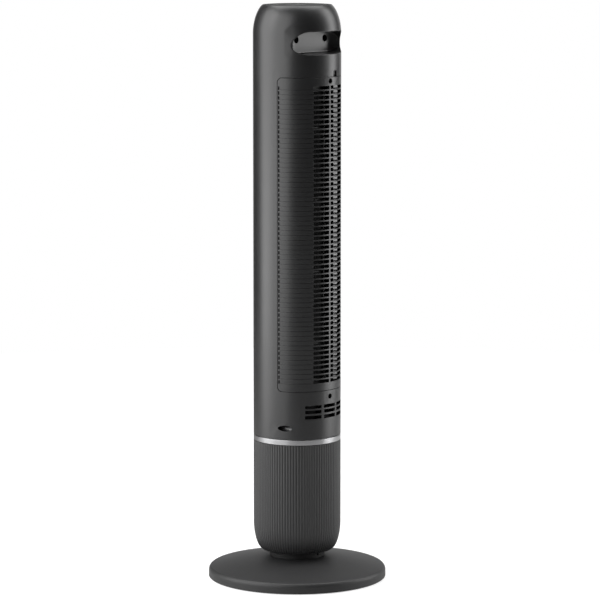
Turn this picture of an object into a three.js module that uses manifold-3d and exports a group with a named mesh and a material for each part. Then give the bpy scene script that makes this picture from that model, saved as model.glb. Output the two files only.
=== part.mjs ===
// Tower fan, one metre tall: a slim column with a cross-flow blower, swinging on a round base.
// Millimetres, +Z up. The origin is on the floor under the middle of the base.
// The air outlet faces -Y; the inlet grille, the hand grip and the cord inlet face +Y.
import * as THREE from "three";
import { mergeVertices } from "three/addons/utils/BufferGeometryUtils.js";
import Module from "manifold-3d";

const wasm = await Module();
wasm.setup();

// ---------------------------------------------------------------- driving dimensions
const HEIGHT = 1000;
const BODY_R = 76; // column
const WALL = 2.5; // moulded shells
const GAP = 0.3; // between pieces that touch
const FACET = 10; // degrees between the edges of every facet of the column

const BASE_R = 155;
const BASE_EDGE_Z = 13; // where the base's side wall ends and its shoulder begins
const BASE_SHOULDER = { r: 146, z: 24.2 };
const BASE_TOP_Z = 38.5;
const FOOT = { count: 6, circle: 136, r: 8, height: 3 };
const COLLAR = { r: 48, wall: 3, top: 56 };
const CORD_INLET = { r: 2.9, z: 44.7 };

const SKIRT_Z = 50; // underside of the fluted skirt
const SKIRT_MOUTH_R = 50;
const SKIRT_ROUND = { width: 17.1, height: 54 }; // quarter ellipse at its foot
const FLUTES = { count: 96, depth: 0.7 };
const RING_Z = [246.2, 255];

const SHOULDER = { z: 952, width: 26, height: 52 }; // ellipse that rounds the top of the column
const TOP_RIM_R = 59.3; // mouth that holds the control panel
const PANEL_SEAT = { r: 55, z: 997, thickness: 2.5 };
const FRONT_HALF = 40; // degrees: the front cover's half width

const GRILLE = { half: 75.2, bottom: 338.4, top: 879.6, corner: 8.5 };
const SLOTS = { count: 62, first: 353, last: 864.3, height: 5.3, rib: 1.55, open: 27, closed: 72.6 };
const LOUVRE_DEPTH = 1.3; // at the upper edge of a blind louvre, which slopes out to nothing below
const OUTLET = { half: 27, bottom: 300, top: 905, corner: 12, columns: 9, rows: 2 };

const GRIP = { z: 938, floorY: 30.5, floorHalf: 42, mouthY: 43.4, mouthHalf: 62.4, halfHeight: 18 };
const GRIP_SCREW = { x: 36.8, z: 942.4, boreR: 6 };
const SEAT_R = 72.4; // ledge behind a panel's edge
const VENT_ROWS = [[290.6, 296.9], [300.2, 306.1], [308.9, 314.6]];
const VENT_COLUMNS = [[-38.1, -14.8], [-10.9, 10.9], [14.8, 38.1]];
const SIDE_SCREW = { x: 68, z: 274.8, boreR: 5.25 };
const PRY_NOTCH = { bearing: 12.1, top: 889.5 };
const LOW_SCREW_Z = 328;
const GRILLE_SCREW_Z = 872.5;
const REAR_BORE_R = 4.5;

const PIVOT = { r: 12, bore: 9, top: 77 };
const PLATE_Z = [66, 69]; // swivel plate
const GEAR = { module: 1.6, fixedTeeth: 27, pinionTeeth: 9, z: [58, 63], backlash: 0.5, spread: 0.15 };
const PINION_Y = -((GEAR.fixedTeeth + GEAR.pinionTeeth) * GEAR.module) / 2 - GEAR.spread;
const SWING = 45; // degrees each way
const BOARD_Y = [38, 39.6]; // power board

const BULKHEAD_Z = [336, 339.5]; // over the motor
const HEAD_PLATE_Z = [883.5, 887]; // over the blower
const BULKHEAD_R = 69.5;
const WHEEL = { r: 46, bottom: 354, top: 855, blades: 13, bays: 8, disc: 2.4 };
const NOSE = { r: 4.3, circle: 65.5, bearing: 26 }; // bead on the edge of the scroll
const MOTOR = { r: 33, height: 44, nose: 9 };
const SHAFT_R = 4;
const SHAFT_Z = [318, 365];
const AXLE_R = 3;
const RUNNING = 0.12; // radial clearance of a shaft in its bush
const BUTTON = { r: 5, circle: 38, pitch: 24 }; // pitch in degrees
const BOARD_TOP = 986.7; // control board

// ---------------------------------------------------------------- making solids
const radians = THREE.MathUtils.degToRad;

// A closed three.js geometry as a solid that can be joined and cut.
function solid(geometry) {
  const bare = geometry.clone();
  bare.deleteAttribute("normal");
  bare.deleteAttribute("uv");
  const merged = mergeVertices(bare, 1e-4);
  const mesh = new wasm.Mesh({
    numProp: 3,
    vertProperties: merged.attributes.position.array,
    triVerts: new Uint32Array(merged.index.array),
  });
  return new wasm.Manifold(mesh);
}

const join = (...pieces) => wasm.Manifold.union(pieces);
const cut = (body, ...tools) => body.subtract(join(...tools));

// The finished solid as a three.js geometry with flat shading.
function geometryOf(body) {
  const { vertProperties, triVerts } = body.getMesh();
  const geometry = new THREE.BufferGeometry();
  geometry.setAttribute("position", new THREE.BufferAttribute(new Float32Array(vertProperties), 3));
  geometry.setIndex(new THREE.BufferAttribute(new Uint32Array(triVerts), 1));
  const flat = geometry.toNonIndexed();
  flat.computeVertexNormals();
  return flat;
}

// Turns a (radius, height) outline about Z. It runs anticlockwise: up the outside, down the inside.
function turnedGeometry(outline, steps) {
  const points = outline.map(([r, z]) => new THREE.Vector2(r, z));
  const onAxis = outline[0][0] === 0;
  if (!onAxis) points.push(points[0]);
  return new THREE.LatheGeometry(points, steps).rotateX(Math.PI / 2);
}
const turned = (outline, steps = 360 / FACET) => solid(turnedGeometry(outline, steps));

// Evenly spaced values from one to another, both included.
const spaced = (from, to, steps) =>
  Array.from({ length: steps + 1 }, (_, i) => from + ((to - from) * i) / steps);

// Bearings of the column's facet edges between two others, with those two.
function facetEdges(from, to) {
  const first = Math.ceil(from / FACET + 0.01);
  const last = Math.floor(to / FACET - 0.01);
  const inner = Array.from({ length: last - first + 1 }, (_, i) => (first + i) * FACET);
  return [from, ...inner, to];
}

// Sweeps a closed (radius, height) outline about Z through a list of bearings.
// A bearing is in degrees from the middle of the back, positive towards -X.
function swept(outline, stations) {
  const n = outline.length;
  const points = [];
  const faces = [];
  for (const bearing of stations) {
    const angle = radians(90 + bearing);
    for (const [r, z] of outline) points.push(r * Math.cos(angle), r * Math.sin(angle), z);
  }
  for (let i = 0; i < stations.length - 1; i++)
    for (let j = 0; j < n; j++) {
      const a = i * n + j;
      const b = i * n + ((j + 1) % n);
      faces.push(a, a + n, b + n, a, b + n, b);
    }
  const end = (stations.length - 1) * n;
  const section = outline.map(([r, z]) => new THREE.Vector2(r, z));
  for (const [a, b, c] of THREE.ShapeUtils.triangulateShape(section, []))
    faces.push(a, b, c, end + a, end + c, end + b);
  const geometry = new THREE.BufferGeometry();
  geometry.setAttribute("position", new THREE.Float32BufferAttribute(points, 3));
  geometry.setIndex(faces);
  return solid(geometry);
}

// A rectangle in radius and height, anticlockwise.
const band = (r0, r1, z0, z1) => [[r0, z0], [r1, z0], [r1, z1], [r0, z1]];

// A patch of the column's wall with rounded corners, reaching out from a given radius.
function roundedPatch(centre, half, bottom, top, corner, near = 60) {
  const far = BODY_R + 10;
  const turn = THREE.MathUtils.radToDeg(corner / BODY_R);
  const rounds = [];
  for (const side of [-1, 1])
    for (const z of [bottom + corner, top - corner]) {
      const round = new THREE.CylinderGeometry(corner, corner, far - near, 16);
      round.translate(0, (near + far) / 2, 0).rotateZ(radians(centre + side * (half - turn)));
      rounds.push(solid(round.translate(0, 0, z)));
    }
  return join(
    swept(band(near, far, bottom + corner, top - corner), facetEdges(centre - half, centre + half)),
    swept(band(near, far, bottom, top), facetEdges(centre - half + turn, centre + half - turn)),
    ...rounds,
  );
}

// A round bar along X, Y or Z; the centre is given on the two other axes, in their order.
function rod(axis, radius, from, to, [u, v], sides = 12) {
  const bar = new THREE.CylinderGeometry(radius, radius, to - from, sides);
  const middle = (from + to) / 2;
  if (axis === "x") bar.rotateZ(-Math.PI / 2).translate(middle, u, v);
  if (axis === "y") bar.translate(u, middle, v);
  if (axis === "z") bar.rotateX(Math.PI / 2).translate(u, v, middle);
  return solid(bar);
}

// A box between two corners.
function block([x0, y0, z0], [x1, y1, z1]) {
  const box = new THREE.BoxGeometry(x1 - x0, y1 - y0, z1 - z0);
  return solid(box.translate((x0 + x1) / 2, (y0 + y1) / 2, (z0 + z1) / 2));
}

// A flat shape pushed up from one height to another.
function prism(shape, [from, to], curveSegments = 12) {
  const settings = { depth: to - from, bevelEnabled: false, curveSegments };
  return solid(new THREE.ExtrudeGeometry(shape, settings).translate(0, 0, from));
}

// A skin over rings of points, one after another, closed by its first and last ring.
function lofted(rings) {
  const n = rings[0].length;
  const faces = [];
  for (let i = 0; i < rings.length - 1; i++)
    for (let j = 0; j < n; j++) {
      const a = i * n + j;
      const b = i * n + ((j + 1) % n);
      faces.push(a, b + n, b, a, a + n, b + n);
    }
  const end = (rings.length - 1) * n;
  for (let j = 1; j < n - 1; j++) faces.push(0, j, j + 1, end, end + j + 1, end + j);
  const geometry = new THREE.BufferGeometry().setFromPoints(rings.flat());
  geometry.setIndex(faces);
  return solid(geometry);
}

// Points round a circle, the first at `start` degrees.
function around(count, radius, start = 0) {
  return Array.from({ length: count }, (_, i) => {
    const angle = radians(start + (i * 360) / count);
    return [radius * Math.cos(angle), radius * Math.sin(angle)];
  });
}

// Points of an ellipse's arc in radius and height, both ends included.
function arc(centreR, centreZ, width, height, from, to, steps) {
  return spaced(from, to, steps).map((degrees) => [
    centreR + width * Math.cos(radians(degrees)),
    centreZ + height * Math.sin(radians(degrees)),
  ]);
}

// ---------------------------------------------------------------- base
// Upper surface of the base: side wall, rounded shoulder, then a dome that flattens at the neck.
function baseTop(drop, steps) {
  const { r, z } = BASE_SHOULDER;
  const round = arc(r, BASE_EDGE_Z, BASE_R - r - drop, z - BASE_EDGE_Z - drop, 0, 90, 3);
  const dome = spaced(r, COLLAR.r, steps).slice(1).map((radius) => {
    const out = (radius - COLLAR.r) / (r - COLLAR.r);
    return [radius, BASE_TOP_Z - drop - (BASE_TOP_Z - z) * out ** 1.6];
  });
  return [...round, ...dome];
}

function baseDisc() {
  const bottom = FOOT.height + GAP;
  const filled = turned([[0, bottom], [BASE_R, bottom], ...baseTop(0, 2), [0, BASE_TOP_Z]], 40);
  const under = [[0, bottom - 1], [BASE_R - WALL, bottom - 1], ...baseTop(WALL, 2), [0, BASE_TOP_Z - WALL]];
  const feet = around(FOOT.count, FOOT.circle).map((at) => rod("z", FOOT.r + 1, bottom, 40, at, 6));
  const posts = around(3, 92, 90).map((at) => rod("z", 3.6, 9, 40, at, 6));
  const ribs = around(FOOT.count, 1).map((_, i) =>
    block([52, -1.2, 14.5], [FOOT.circle, 1.2, 40]).rotate([0, 0, (i * 360) / FOOT.count]),
  );
  const shell = cut(filled, cut(turned(under, 24), ...feet, ...posts, ...ribs));
  return cut(shell, rod("z", 13, 30, 45, [0, 0]), ...baseScrewHoles());
}

// Steel plate that keeps the fan upright, on three posts moulded in the base.
function baseWeight() {
  const plate = turned(band(56, 126, 9.8, 14.2), 24);
  return cut(plate, ...around(3, 92, 90).map((at) => rod("z", 4, 5, 20, at, 6)));
}

const baseFoot = () =>
  turned([[0, 0], [FOOT.r - 1, 0], [FOOT.r, FOOT.height], [0, FOOT.height]], 12);

const baseScrewPlaces = () => around(3, 36, 30);
const baseScrewHoles = () => baseScrewPlaces().map((at) => rod("z", 2.1, 30, 50, at, 6));

// Ring that the column turns over, with two stops for the swing and the cord's way in.
function neckCollar() {
  const inner = COLLAR.r - COLLAR.wall;
  const floor = BASE_TOP_Z + GAP;
  const ring = turned(
    [
      [14, floor], [COLLAR.r, floor], [COLLAR.r, COLLAR.top],
      [inner, COLLAR.top], [inner, floor + 2.6], [14, floor + 2.6],
    ],
    24,
  );
  const stopAngle = SWING + 7.4; // room for half of the finger and half of the stop
  const stops = [-1, 1].map((side) =>
    block([-2, 40, floor + 1], [2, inner + 1, COLLAR.top]).rotate([0, 0, side * stopAngle]),
  );
  return cut(join(ring, ...stops), rod("y", CORD_INLET.r, 40, 60, [0, CORD_INLET.z]), ...baseScrewHoles());
}

// Rubber bush in the cord's hole.
function cordGrommet() {
  const { r, z } = CORD_INLET;
  return cut(rod("y", r - GAP, COLLAR.r - 5, COLLAR.r - 0.2, [0, z]), rod("y", r - 0.9, 30, 60, [0, z]));
}

// Flanged steel tube that stands on the collar's floor; the cord runs up through it.
function pivotTube() {
  const { r, bore, top } = PIVOT;
  return turned([[bore, 41.7], [22, 41.7], [22, 44.7], [r, 44.7], [r, top], [bore, top]], 16);
}

// Straight-flanked teeth of a 20 degree gear; a tooth points along `start` degrees.
function gearShape(teeth, start) {
  const pitchR = (teeth * GEAR.module) / 2;
  const half = (Math.PI * GEAR.module) / 4 - GEAR.backlash / 2;
  const lean = Math.tan(radians(20));
  const flank = (r) => (half - (r - pitchR) * lean) / r;
  const [root, tip] = [pitchR - 1.25 * GEAR.module, pitchR + 0.85 * GEAR.module];
  const points = around(teeth, 1, start).flatMap(([x, y]) => {
    const angle = Math.atan2(y, x);
    const corners = [[root, -flank(root)], [tip, -flank(tip)], [tip, flank(tip)], [root, flank(root)]];
    return corners.map(([r, turn]) =>
      new THREE.Vector2(r * Math.cos(angle + turn), r * Math.sin(angle + turn)),
    );
  });
  return new THREE.Shape(points);
}

// Toothed wheel fixed on the tube. The pinion walks round it and takes the column along.
function fixedGear() {
  const toothed = prism(gearShape(GEAR.fixedTeeth, 270 + 180 / GEAR.fixedTeeth), GEAR.z);
  const hub = rod("z", 17, 45, GEAR.z[0] + 1, [0, 0]);
  return cut(join(toothed, hub), rod("z", PIVOT.r + GAP, 30, 80, [0, 0], 16));
}

// Tooth wheel and spindle in one piece, driven by the oscillation motor above it.
const drivePinion = () =>
  join(prism(gearShape(GEAR.pinionTeeth, 90), GEAR.z), rod("z", 2.5, GEAR.z[1] - 1, 76, [0, 0]));

const thrustWasher = () => turned(band(PIVOT.r + GAP, 21, GEAR.z[1] + GAP, PLATE_Z[0] - GAP), 16);

// Six-sided nut that keeps the column on the tube.
function pivotNut() {
  return cut(
    rod("z", 19, PLATE_Z[1] + GAP, PLATE_Z[1] + 5, [0, 0], 6),
    rod("z", PIVOT.r + GAP, 60, 90, [0, 0], 16),
  );
}

// ---------------------------------------------------------------- column: skirt and swivel
const swivelScrewPlaces = () => around(3, 57.5, 30);

// Disc under the column. It turns on the tube and carries the oscillation motor and the power board.
function swivelPlate() {
  const [bottom, top] = PLATE_Z;
  const [bore, rim, lip] = [PIVOT.r + 0.4, 66, 63.5];
  const outline = [[bore, bottom], [rim, bottom], [rim, top + 3], [lip, top + 3], [lip, top], [bore, top]];
  const disc = turned(outline, 24);
  const finger = block([-3, 40, 50], [3, 44, bottom + 1]);
  const posts = [-1, 1].map((side) => block([side * 32 - 3, 35, top - 1], [side * 32 + 3, 43, top + 14]));
  const slot = block([-31, BOARD_Y[0] - GAP, top], [31, BOARD_Y[1] + GAP, top + 20]);
  const holes = swivelScrewPlaces().map((at) => rod("z", 2.1, 60, 75, at, 6));
  return cut(join(disc, finger, ...posts), slot, rod("z", 9.6, 60, 75, [0, PINION_Y], 16), ...holes);
}

// Tapered, fluted lower casing. The flutes run down its side and round its foot.
function flutedSkirt() {
  const top = RING_Z[0] - GAP;
  const { width, height } = SKIRT_ROUND;
  const foot = (inset, steps) =>
    arc(BODY_R - width, SKIRT_Z + height, width - inset, height - inset, -90, 0, steps);
  const skin = turnedGeometry([[0, SKIRT_Z], ...foot(0, 3), [BODY_R, top], [0, top]], 2 * FLUTES.count);
  const position = skin.attributes.position;
  for (let i = 0; i < position.count; i++) {
    const [x, y] = [position.getX(i), position.getY(i)];
    const r = Math.hypot(x, y);
    const meridian = Math.round((Math.atan2(y, x) * FLUTES.count) / Math.PI);
    const scale = r > 1 && meridian % 2 ? 1 - FLUTES.depth / r : 1;
    position.setXY(i, x * scale, y * scale);
  }
  const inset = WALL + FLUTES.depth;
  const hollow = turned([[0, SKIRT_Z + 3], ...foot(inset, 2), [BODY_R - inset, top + 1], [0, top + 1]], 24);
  const bosses = swivelScrewPlaces().map((at) => rod("z", 5, SKIRT_Z + 1, PLATE_Z[0] - GAP, at, 8));
  const pilots = swivelScrewPlaces().map((at) => rod("z", 1.8, SKIRT_Z + 5, 80, at, 8));
  const mouth = rod("z", SKIRT_MOUTH_R, SKIRT_Z - 5, SKIRT_Z + 5, [0, 0], 32);
  return cut(solid(skin), cut(hollow, ...bosses), mouth, ...pilots);
}

// Bright band between the skirt and the upper shell, with a spigot that locates the shell.
const trimRing = () =>
  turned([
    [70, RING_Z[0] + GAP], [BODY_R, RING_Z[0] + GAP], [BODY_R, RING_Z[1] - GAP],
    [72, RING_Z[1] - GAP], [72, 259], [70, 259],
  ]);

// Geared stepper motor, its can set off from the shaft; the shaft hole opens over the pinion.
function oscillationMotor() {
  const bottom = PLATE_Z[1] + GAP;
  const can = rod("z", 14, bottom, bottom + 19, [0, -8], 20);
  const ears = block([-21, -11.5, bottom], [21, -4.5, bottom + 2]);
  return cut(join(can, ears), rod("z", 2.5 + RUNNING, bottom - 1, bottom + 8, [0, 0]));
}

// Mains board standing in the swivel plate's two posts, with its transformer, capacitor and heat sink.
function powerBoard() {
  const foot = PLATE_Z[1] + GAP;
  const [front, back] = BOARD_Y;
  return join(
    block([-30.5, front, foot], [30.5, back, foot + 70]),
    block([-22, back - 0.5, foot + 20], [2, back + 16, foot + 48]),
    rod("y", 7, back - 0.5, back + 18, [14, foot + 34], 10),
    block([-20, front - 8, foot + 52], [20, front + 0.5, foot + 62]),
  );
}

// ---------------------------------------------------------------- column: shells
// Wall section of the upper column, from the trim ring over the shoulder to the control panel's seat.
function shellOutline() {
  const { z, width, height } = SHOULDER;
  const reach = THREE.MathUtils.radToDeg(Math.asin((HEIGHT - z) / height));
  const seat = PANEL_SEAT.z - PANEL_SEAT.thickness;
  const innerReach = THREE.MathUtils.radToDeg(Math.asin((seat - z) / (height - WALL)));
  return [
    [BODY_R - WALL, RING_Z[1]],
    [BODY_R, RING_Z[1]],
    ...arc(BODY_R - width, z, width, height, 0, reach, 4),
    [TOP_RIM_R, HEIGHT],
    [TOP_RIM_R, PANEL_SEAT.z],
    [PANEL_SEAT.r, PANEL_SEAT.z],
    [PANEL_SEAT.r, seat],
    ...arc(BODY_R - width, z, width - WALL, height - WALL, innerReach, 0, 3),
  ];
}

// Everything inside the middle of the shell's wall, to trim what is moulded on its inner side.
const shellCore = () => rod("z", BODY_R - WALL / 2, RING_Z[1] + 1, GRIP.z + 40, [0, 0], 360 / FACET);

// One cross-section of the hand grip: a bar shape with round ends in a plane across Y.
function gripSection(halfWidth, halfHeight, y) {
  const centre = halfWidth - halfHeight;
  const end = (side) =>
    spaced(-90, 90, 8).map((degrees) => {
      const turn = radians(degrees);
      const x = side * (centre + halfHeight * Math.cos(turn));
      return new THREE.Vector3(x, y, GRIP.z + side * halfHeight * Math.sin(turn));
    });
  return [...end(-1), ...end(1)];
}

// The grip's hollow, or with a margin the cup that holds it.
function gripHollow(margin) {
  const [deep, wide, tall] = [GRIP.floorY - margin, GRIP.mouthHalf + margin, GRIP.halfHeight + margin];
  return lofted([
    gripSection(GRIP.floorHalf + margin, tall, deep),
    gripSection(wide, tall + 0.4, GRIP.mouthY),
    gripSection(wide, tall + 0.8, BODY_R + 5),
  ]);
}

// Pairs and single screw bores of the rear shell: a boss, a bore for the head and a hole for the shank.
const GRIP_BOSS = { bossR: 8, from: 19, seat: 22, to: 29, outlet: 35 };
const SIDE_BOSS = { bossR: 7, from: 8, seat: 14, to: 45, outlet: 60 };
const LOW_BOSS = { bossR: 6.5, from: 60, seat: 66.5, to: 75, outlet: 80 };
const REAR_SCREWS = [
  { ...GRIP_BOSS, ...GRIP_SCREW },
  { ...GRIP_BOSS, ...GRIP_SCREW, x: -GRIP_SCREW.x },
  { ...SIDE_BOSS, ...SIDE_SCREW },
  { ...SIDE_BOSS, ...SIDE_SCREW, x: -SIDE_SCREW.x },
  { ...LOW_BOSS, x: 0, z: LOW_SCREW_Z, boreR: REAR_BORE_R },
];

// Long rear shell, round both sides of the column: grip, grille opening, vents and screw bores.
function rearShell() {
  const { half, bottom, top, corner } = GRILLE;
  const reach = 180 - FRONT_HALF - 0.2;
  const wall = swept(shellOutline(), facetEdges(-reach, reach));
  const ledge = swept(band(SEAT_R - 2, BODY_R - 2.1, bottom - 3, top + 3), facetEdges(-78, 78));
  const bosses = REAR_SCREWS.map(({ x, z, bossR, from, to }) => rod("y", bossR, from, to, [x, z], 8));
  const body = join(wall, ledge, join(gripHollow(WALL), ...bosses).intersect(shellCore()));

  const bores = REAR_SCREWS.flatMap(({ x, z, boreR, from, seat, outlet }) => [
    rod("y", boreR, seat, outlet, [x, z]),
    rod("y", 2.2, from - 5, seat + 1, [x, z], 6),
  ]);
  const notch = block([-2.3, BODY_R - 1.6, top - 1], [2.3, BODY_R + 4, PRY_NOTCH.top]);
  const vents = VENT_ROWS.flatMap(([z0, z1]) =>
    VENT_COLUMNS.map(([from, to]) => swept(band(SEAT_R, BODY_R + 4, z0, z1), facetEdges(from, to))),
  );
  return cut(
    body,
    gripHollow(0),
    roundedPatch(0, half, bottom, top, corner, SEAT_R),
    roundedPatch(0, half - 3.5, bottom + 6, top - 7, 5),
    rod("y", 6.9, 60, BODY_R - 1, [0, GRILLE_SCREW_Z]),
    notch.rotate([0, 0, PRY_NOTCH.bearing]),
    ...vents,
    ...bores,
  );
}

// Inlet panel: open slots each side of a middle rib, blind louvres beyond them.
function rearGrille() {
  const { half, bottom, top, corner } = GRILLE;
  const { count, first, last, height, rib, open, closed } = SLOTS;
  const side = [...spaced(rib, open, 2), ...spaced(open, closed, 3).slice(1), half + 1];
  const stations = [...side.map((bearing) => -bearing).reverse(), ...side];
  const slab = swept(band(BODY_R - 2.4, BODY_R, bottom - 5, top + 5), stations);
  const panel = slab.intersect(roundedPatch(0, half - 0.25, bottom + GAP, top - GAP, corner));
  const boss = rod("y", 6.5, 66, BODY_R - 1, [0, GRILLE_SCREW_Z]);
  const bore = [
    rod("y", REAR_BORE_R, 68, BODY_R + 5, [0, GRILLE_SCREW_Z]),
    rod("y", 2.2, 60, 70, [0, GRILLE_SCREW_Z], 8),
  ];
  const slot = (z) => {
    const through = band(SEAT_R - 2, BODY_R + 4, z, z + height);
    const blind = [
      [BODY_R, z], [BODY_R + 4, z], [BODY_R + 4, z + height], [BODY_R - LOUVRE_DEPTH, z + height],
    ];
    return [
      swept(blind, spaced(-closed, -open, 3)),
      swept(through, spaced(-open, -rib, 2)),
      swept(through, spaced(rib, open, 2)),
      swept(blind, spaced(open, closed, 3)),
    ];
  };
  const slots = spaced(first, last - height, count - 1).flatMap(slot);
  return cut(join(panel, boss), ...bore, ...slots);
}

// Front cover, with the outlet opening and two long bosses that take the grip's screws.
function frontCover() {
  const { half, bottom, top, corner } = OUTLET;
  const [from, to] = [180 - FRONT_HALF + 0.2, 180 + FRONT_HALF - 0.2];
  const wall = swept(shellOutline(), facetEdges(from, to));
  const ledge = swept(band(SEAT_R - 2, BODY_R - 2.1, bottom - 3, top + 3), facetEdges(150, 210));
  const bosses = [-1, 1].map((side) => rod("y", 5, -72, 18.7, [side * GRIP_SCREW.x, GRIP_SCREW.z]));
  const pilots = [-1, 1].map((side) => rod("y", 1.8, 0, 25, [side * GRIP_SCREW.x, GRIP_SCREW.z], 8));
  return cut(
    join(wall, ledge, join(...bosses).intersect(shellCore())),
    roundedPatch(180, half, bottom, top, corner, SEAT_R),
    roundedPatch(180, half - 2.5, bottom + 6, top - 6, 8),
    ...pilots,
  );
}

// Outlet panel: upright bars tied by cross bars.
function frontGrille() {
  const { half, bottom, top, corner, columns, rows } = OUTLET;
  const edge = { side: half - 3.5, low: bottom + 8, high: top - 8 };
  const uprights = spaced(180 - edge.side, 180 + edge.side, columns);
  const rise = (edge.high - edge.low) / rows;
  const stations = [180 - half - 2, ...uprights, 180 + half + 2];
  const slab = swept(band(BODY_R - 2.4, BODY_R - 0.2, bottom - 5, top + 5), stations);
  const panel = slab.intersect(roundedPatch(180, half - 0.25, bottom + GAP, top - GAP, corner));
  const openings = uprights.slice(1).flatMap((to, column) =>
    spaced(edge.low, edge.high - rise, rows - 1).map((z) =>
      swept(band(SEAT_R - 2, BODY_R + 4, z + 1.5, z + rise - 1.5), [uprights[column] + 0.9, to - 0.9]),
    ),
  );
  return cut(panel, ...openings);
}

// ---------------------------------------------------------------- column: control head
const buttonPlaces = () =>
  spaced(-2, 2, 4).map((place) => {
    const angle = radians(270 + place * BUTTON.pitch);
    return [BUTTON.circle * Math.cos(angle), BUTTON.circle * Math.sin(angle)];
  });

// Round cap of the column with five button holes, a display recess and three board posts.
function topPanel() {
  const [bottom, top] = [PANEL_SEAT.z + GAP, HEIGHT - 0.4];
  const edge = TOP_RIM_R - GAP;
  const disc = turned([[0, bottom], [edge, bottom], [edge, top], [0, top]]);
  const posts = around(3, 30, 90).map((at) => rod("z", 3, BOARD_TOP + GAP, bottom + 1, at, 6));
  const holes = buttonPlaces().map((at) => rod("z", BUTTON.r + GAP, 990, 1010, at, 10));
  const recess = block([-20, -12, top - 1.2], [20, 6, top + 5]);
  return cut(join(disc, ...posts), ...holes, recess);
}

const displayWindow = () =>
  block([-20 + GAP, -12 + GAP, HEIGHT - 1.3], [20 - GAP, 6 - GAP, HEIGHT - 0.4]);

// Key cap, flange that stops it under the panel, and stem over its switch.
function buttonCap() {
  const under = PANEL_SEAT.z + GAP; // underside of the panel
  const flange = BUTTON.r + 1.3;
  return turned(
    [
      [0, 992], [1.5, 992], [1.5, under - 2.2], [flange, under - 2.2],
      [flange, under - GAP], [BUTTON.r, under - GAP], [BUTTON.r, HEIGHT - 0.2], [0, HEIGHT - 0.2],
    ],
    10,
  );
}

// Circuit board under the panel: five key switches and the display module.
function controlBoard() {
  const board = rod("z", 47, BOARD_TOP - 1.6, BOARD_TOP, [0, 0], 20);
  const switches = buttonPlaces().map(([x, y]) =>
    block([x - 3, y - 3, BOARD_TOP - 0.5], [x + 3, y + 3, 990.8]),
  );
  return join(board, ...switches, block([-19, -11, BOARD_TOP - 0.5], [19, 5, 995]));
}

// ---------------------------------------------------------------- column: blower
// Bulkhead over the motor, with a cup for it, the bush seat and the lugs that the screws pull on.
function motorChassis() {
  const [bottom, top] = BULKHEAD_Z;
  const plate = turned(band(8 + GAP, BULKHEAD_R, bottom, top), 24);
  const cup = turned(band(MOTOR.r + 1, MOTOR.r + 3.5, bottom - 30, bottom + 1), 20);
  const legs = [-1, 1].map((side) => block([side * 65 - 4.5, -7, 268], [side * 65 + 4.5, 7.6, bottom + 1]));
  const lug = block([-8, 46, LOW_SCREW_Z - 7], [8, 59.6, bottom + 1]);
  const pilots = [-1, 1].map((side) => rod("y", 1.8, -5, 10, [side * SIDE_SCREW.x, SIDE_SCREW.z], 8));
  return cut(join(plate, cup, ...legs, lug), ...pilots, rod("y", 1.8, 48, 70, [0, LOW_SCREW_Z], 8));
}

function fanMotor() {
  const { r, height, nose } = MOTOR;
  const top = BULKHEAD_Z[0] - 4;
  const bore = SHAFT_R + RUNNING;
  const floor = top - nose;
  return turned(
    [
      [0, floor - height], [r - 3, floor - height], [r, floor - height + 3], [r, floor],
      [12, floor], [12, top], [bore, top], [bore, SHAFT_Z[0] - 1], [0, SHAFT_Z[0] - 1],
    ],
    20,
  );
}

const bush = (shaftR, outerR, [bottom, top]) => turned(band(shaftR + RUNNING, outerR, bottom, top), 24);

// Head plate over the blower, with the upper bush seat and the lug for the grille's screw.
function headPlate() {
  const [bottom, top] = HEAD_PLATE_Z;
  const plate = turned(band(7 + GAP, BULKHEAD_R, bottom, top), 24);
  const lug = block([-7, 52, GRILLE_SCREW_Z - 6], [7, 65.6, bottom + 1]);
  return cut(join(plate, lug), rod("y", 1.8, 54, 70, [0, GRILLE_SCREW_Z], 8));
}

// An upright wall that follows a list of (radius, bearing) places about the blower.
function ductWall(places) {
  const line = new THREE.CatmullRomCurve3(
    places.map(([r, bearing]) => {
      const angle = radians(90 + bearing);
      return new THREE.Vector3(r * Math.cos(angle), r * Math.sin(angle), 0);
    }),
  );
  const steps = places.length * 2;
  const sides = [[], []];
  for (let i = 0; i <= steps; i++) {
    const point = line.getPoint(i / steps);
    const along = line.getTangent(i / steps);
    const thick = i === 0 || i === steps ? 0.6 : 1.2; // half; the two edges are rounded over
    sides[0].push(new THREE.Vector2(point.x - along.y * thick, point.y + along.x * thick));
    sides[1].push(new THREE.Vector2(point.x + along.y * thick, point.y - along.x * thick));
  }
  const outline = new THREE.Shape([...sides[0], ...sides[1].reverse()]);
  return prism(outline, [BULKHEAD_Z[1] + GAP, HEAD_PLATE_Z[0] - GAP]);
}

// Scroll: leaves the inlet at a rounded nose, closes on the wheel and opens out to the outlet.
function voluteWall() {
  const wall = ductWall([
    [NOSE.circle, NOSE.bearing], [59, 32], [51, 48], [50, 70],
    [51.5, 95], [55, 120], [62, 140], [68.5, 154],
  ]);
  const angle = radians(90 + NOSE.bearing);
  const place = [NOSE.circle * Math.cos(angle), NOSE.circle * Math.sin(angle)];
  return join(wall, rod("z", NOSE.r, BULKHEAD_Z[1] + GAP, HEAD_PLATE_Z[0] - GAP, place));
}

// Inlet side wall, ending in the tongue that parts the outlet from the wheel.
const vortexTongue = () =>
  ductWall([
    [68.5, -27], [61, -36], [57, -60], [55.5, -90], [53, -115],
    [49.5, -134], [54, -143], [62, -149], [68.5, -154],
  ]);

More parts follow.
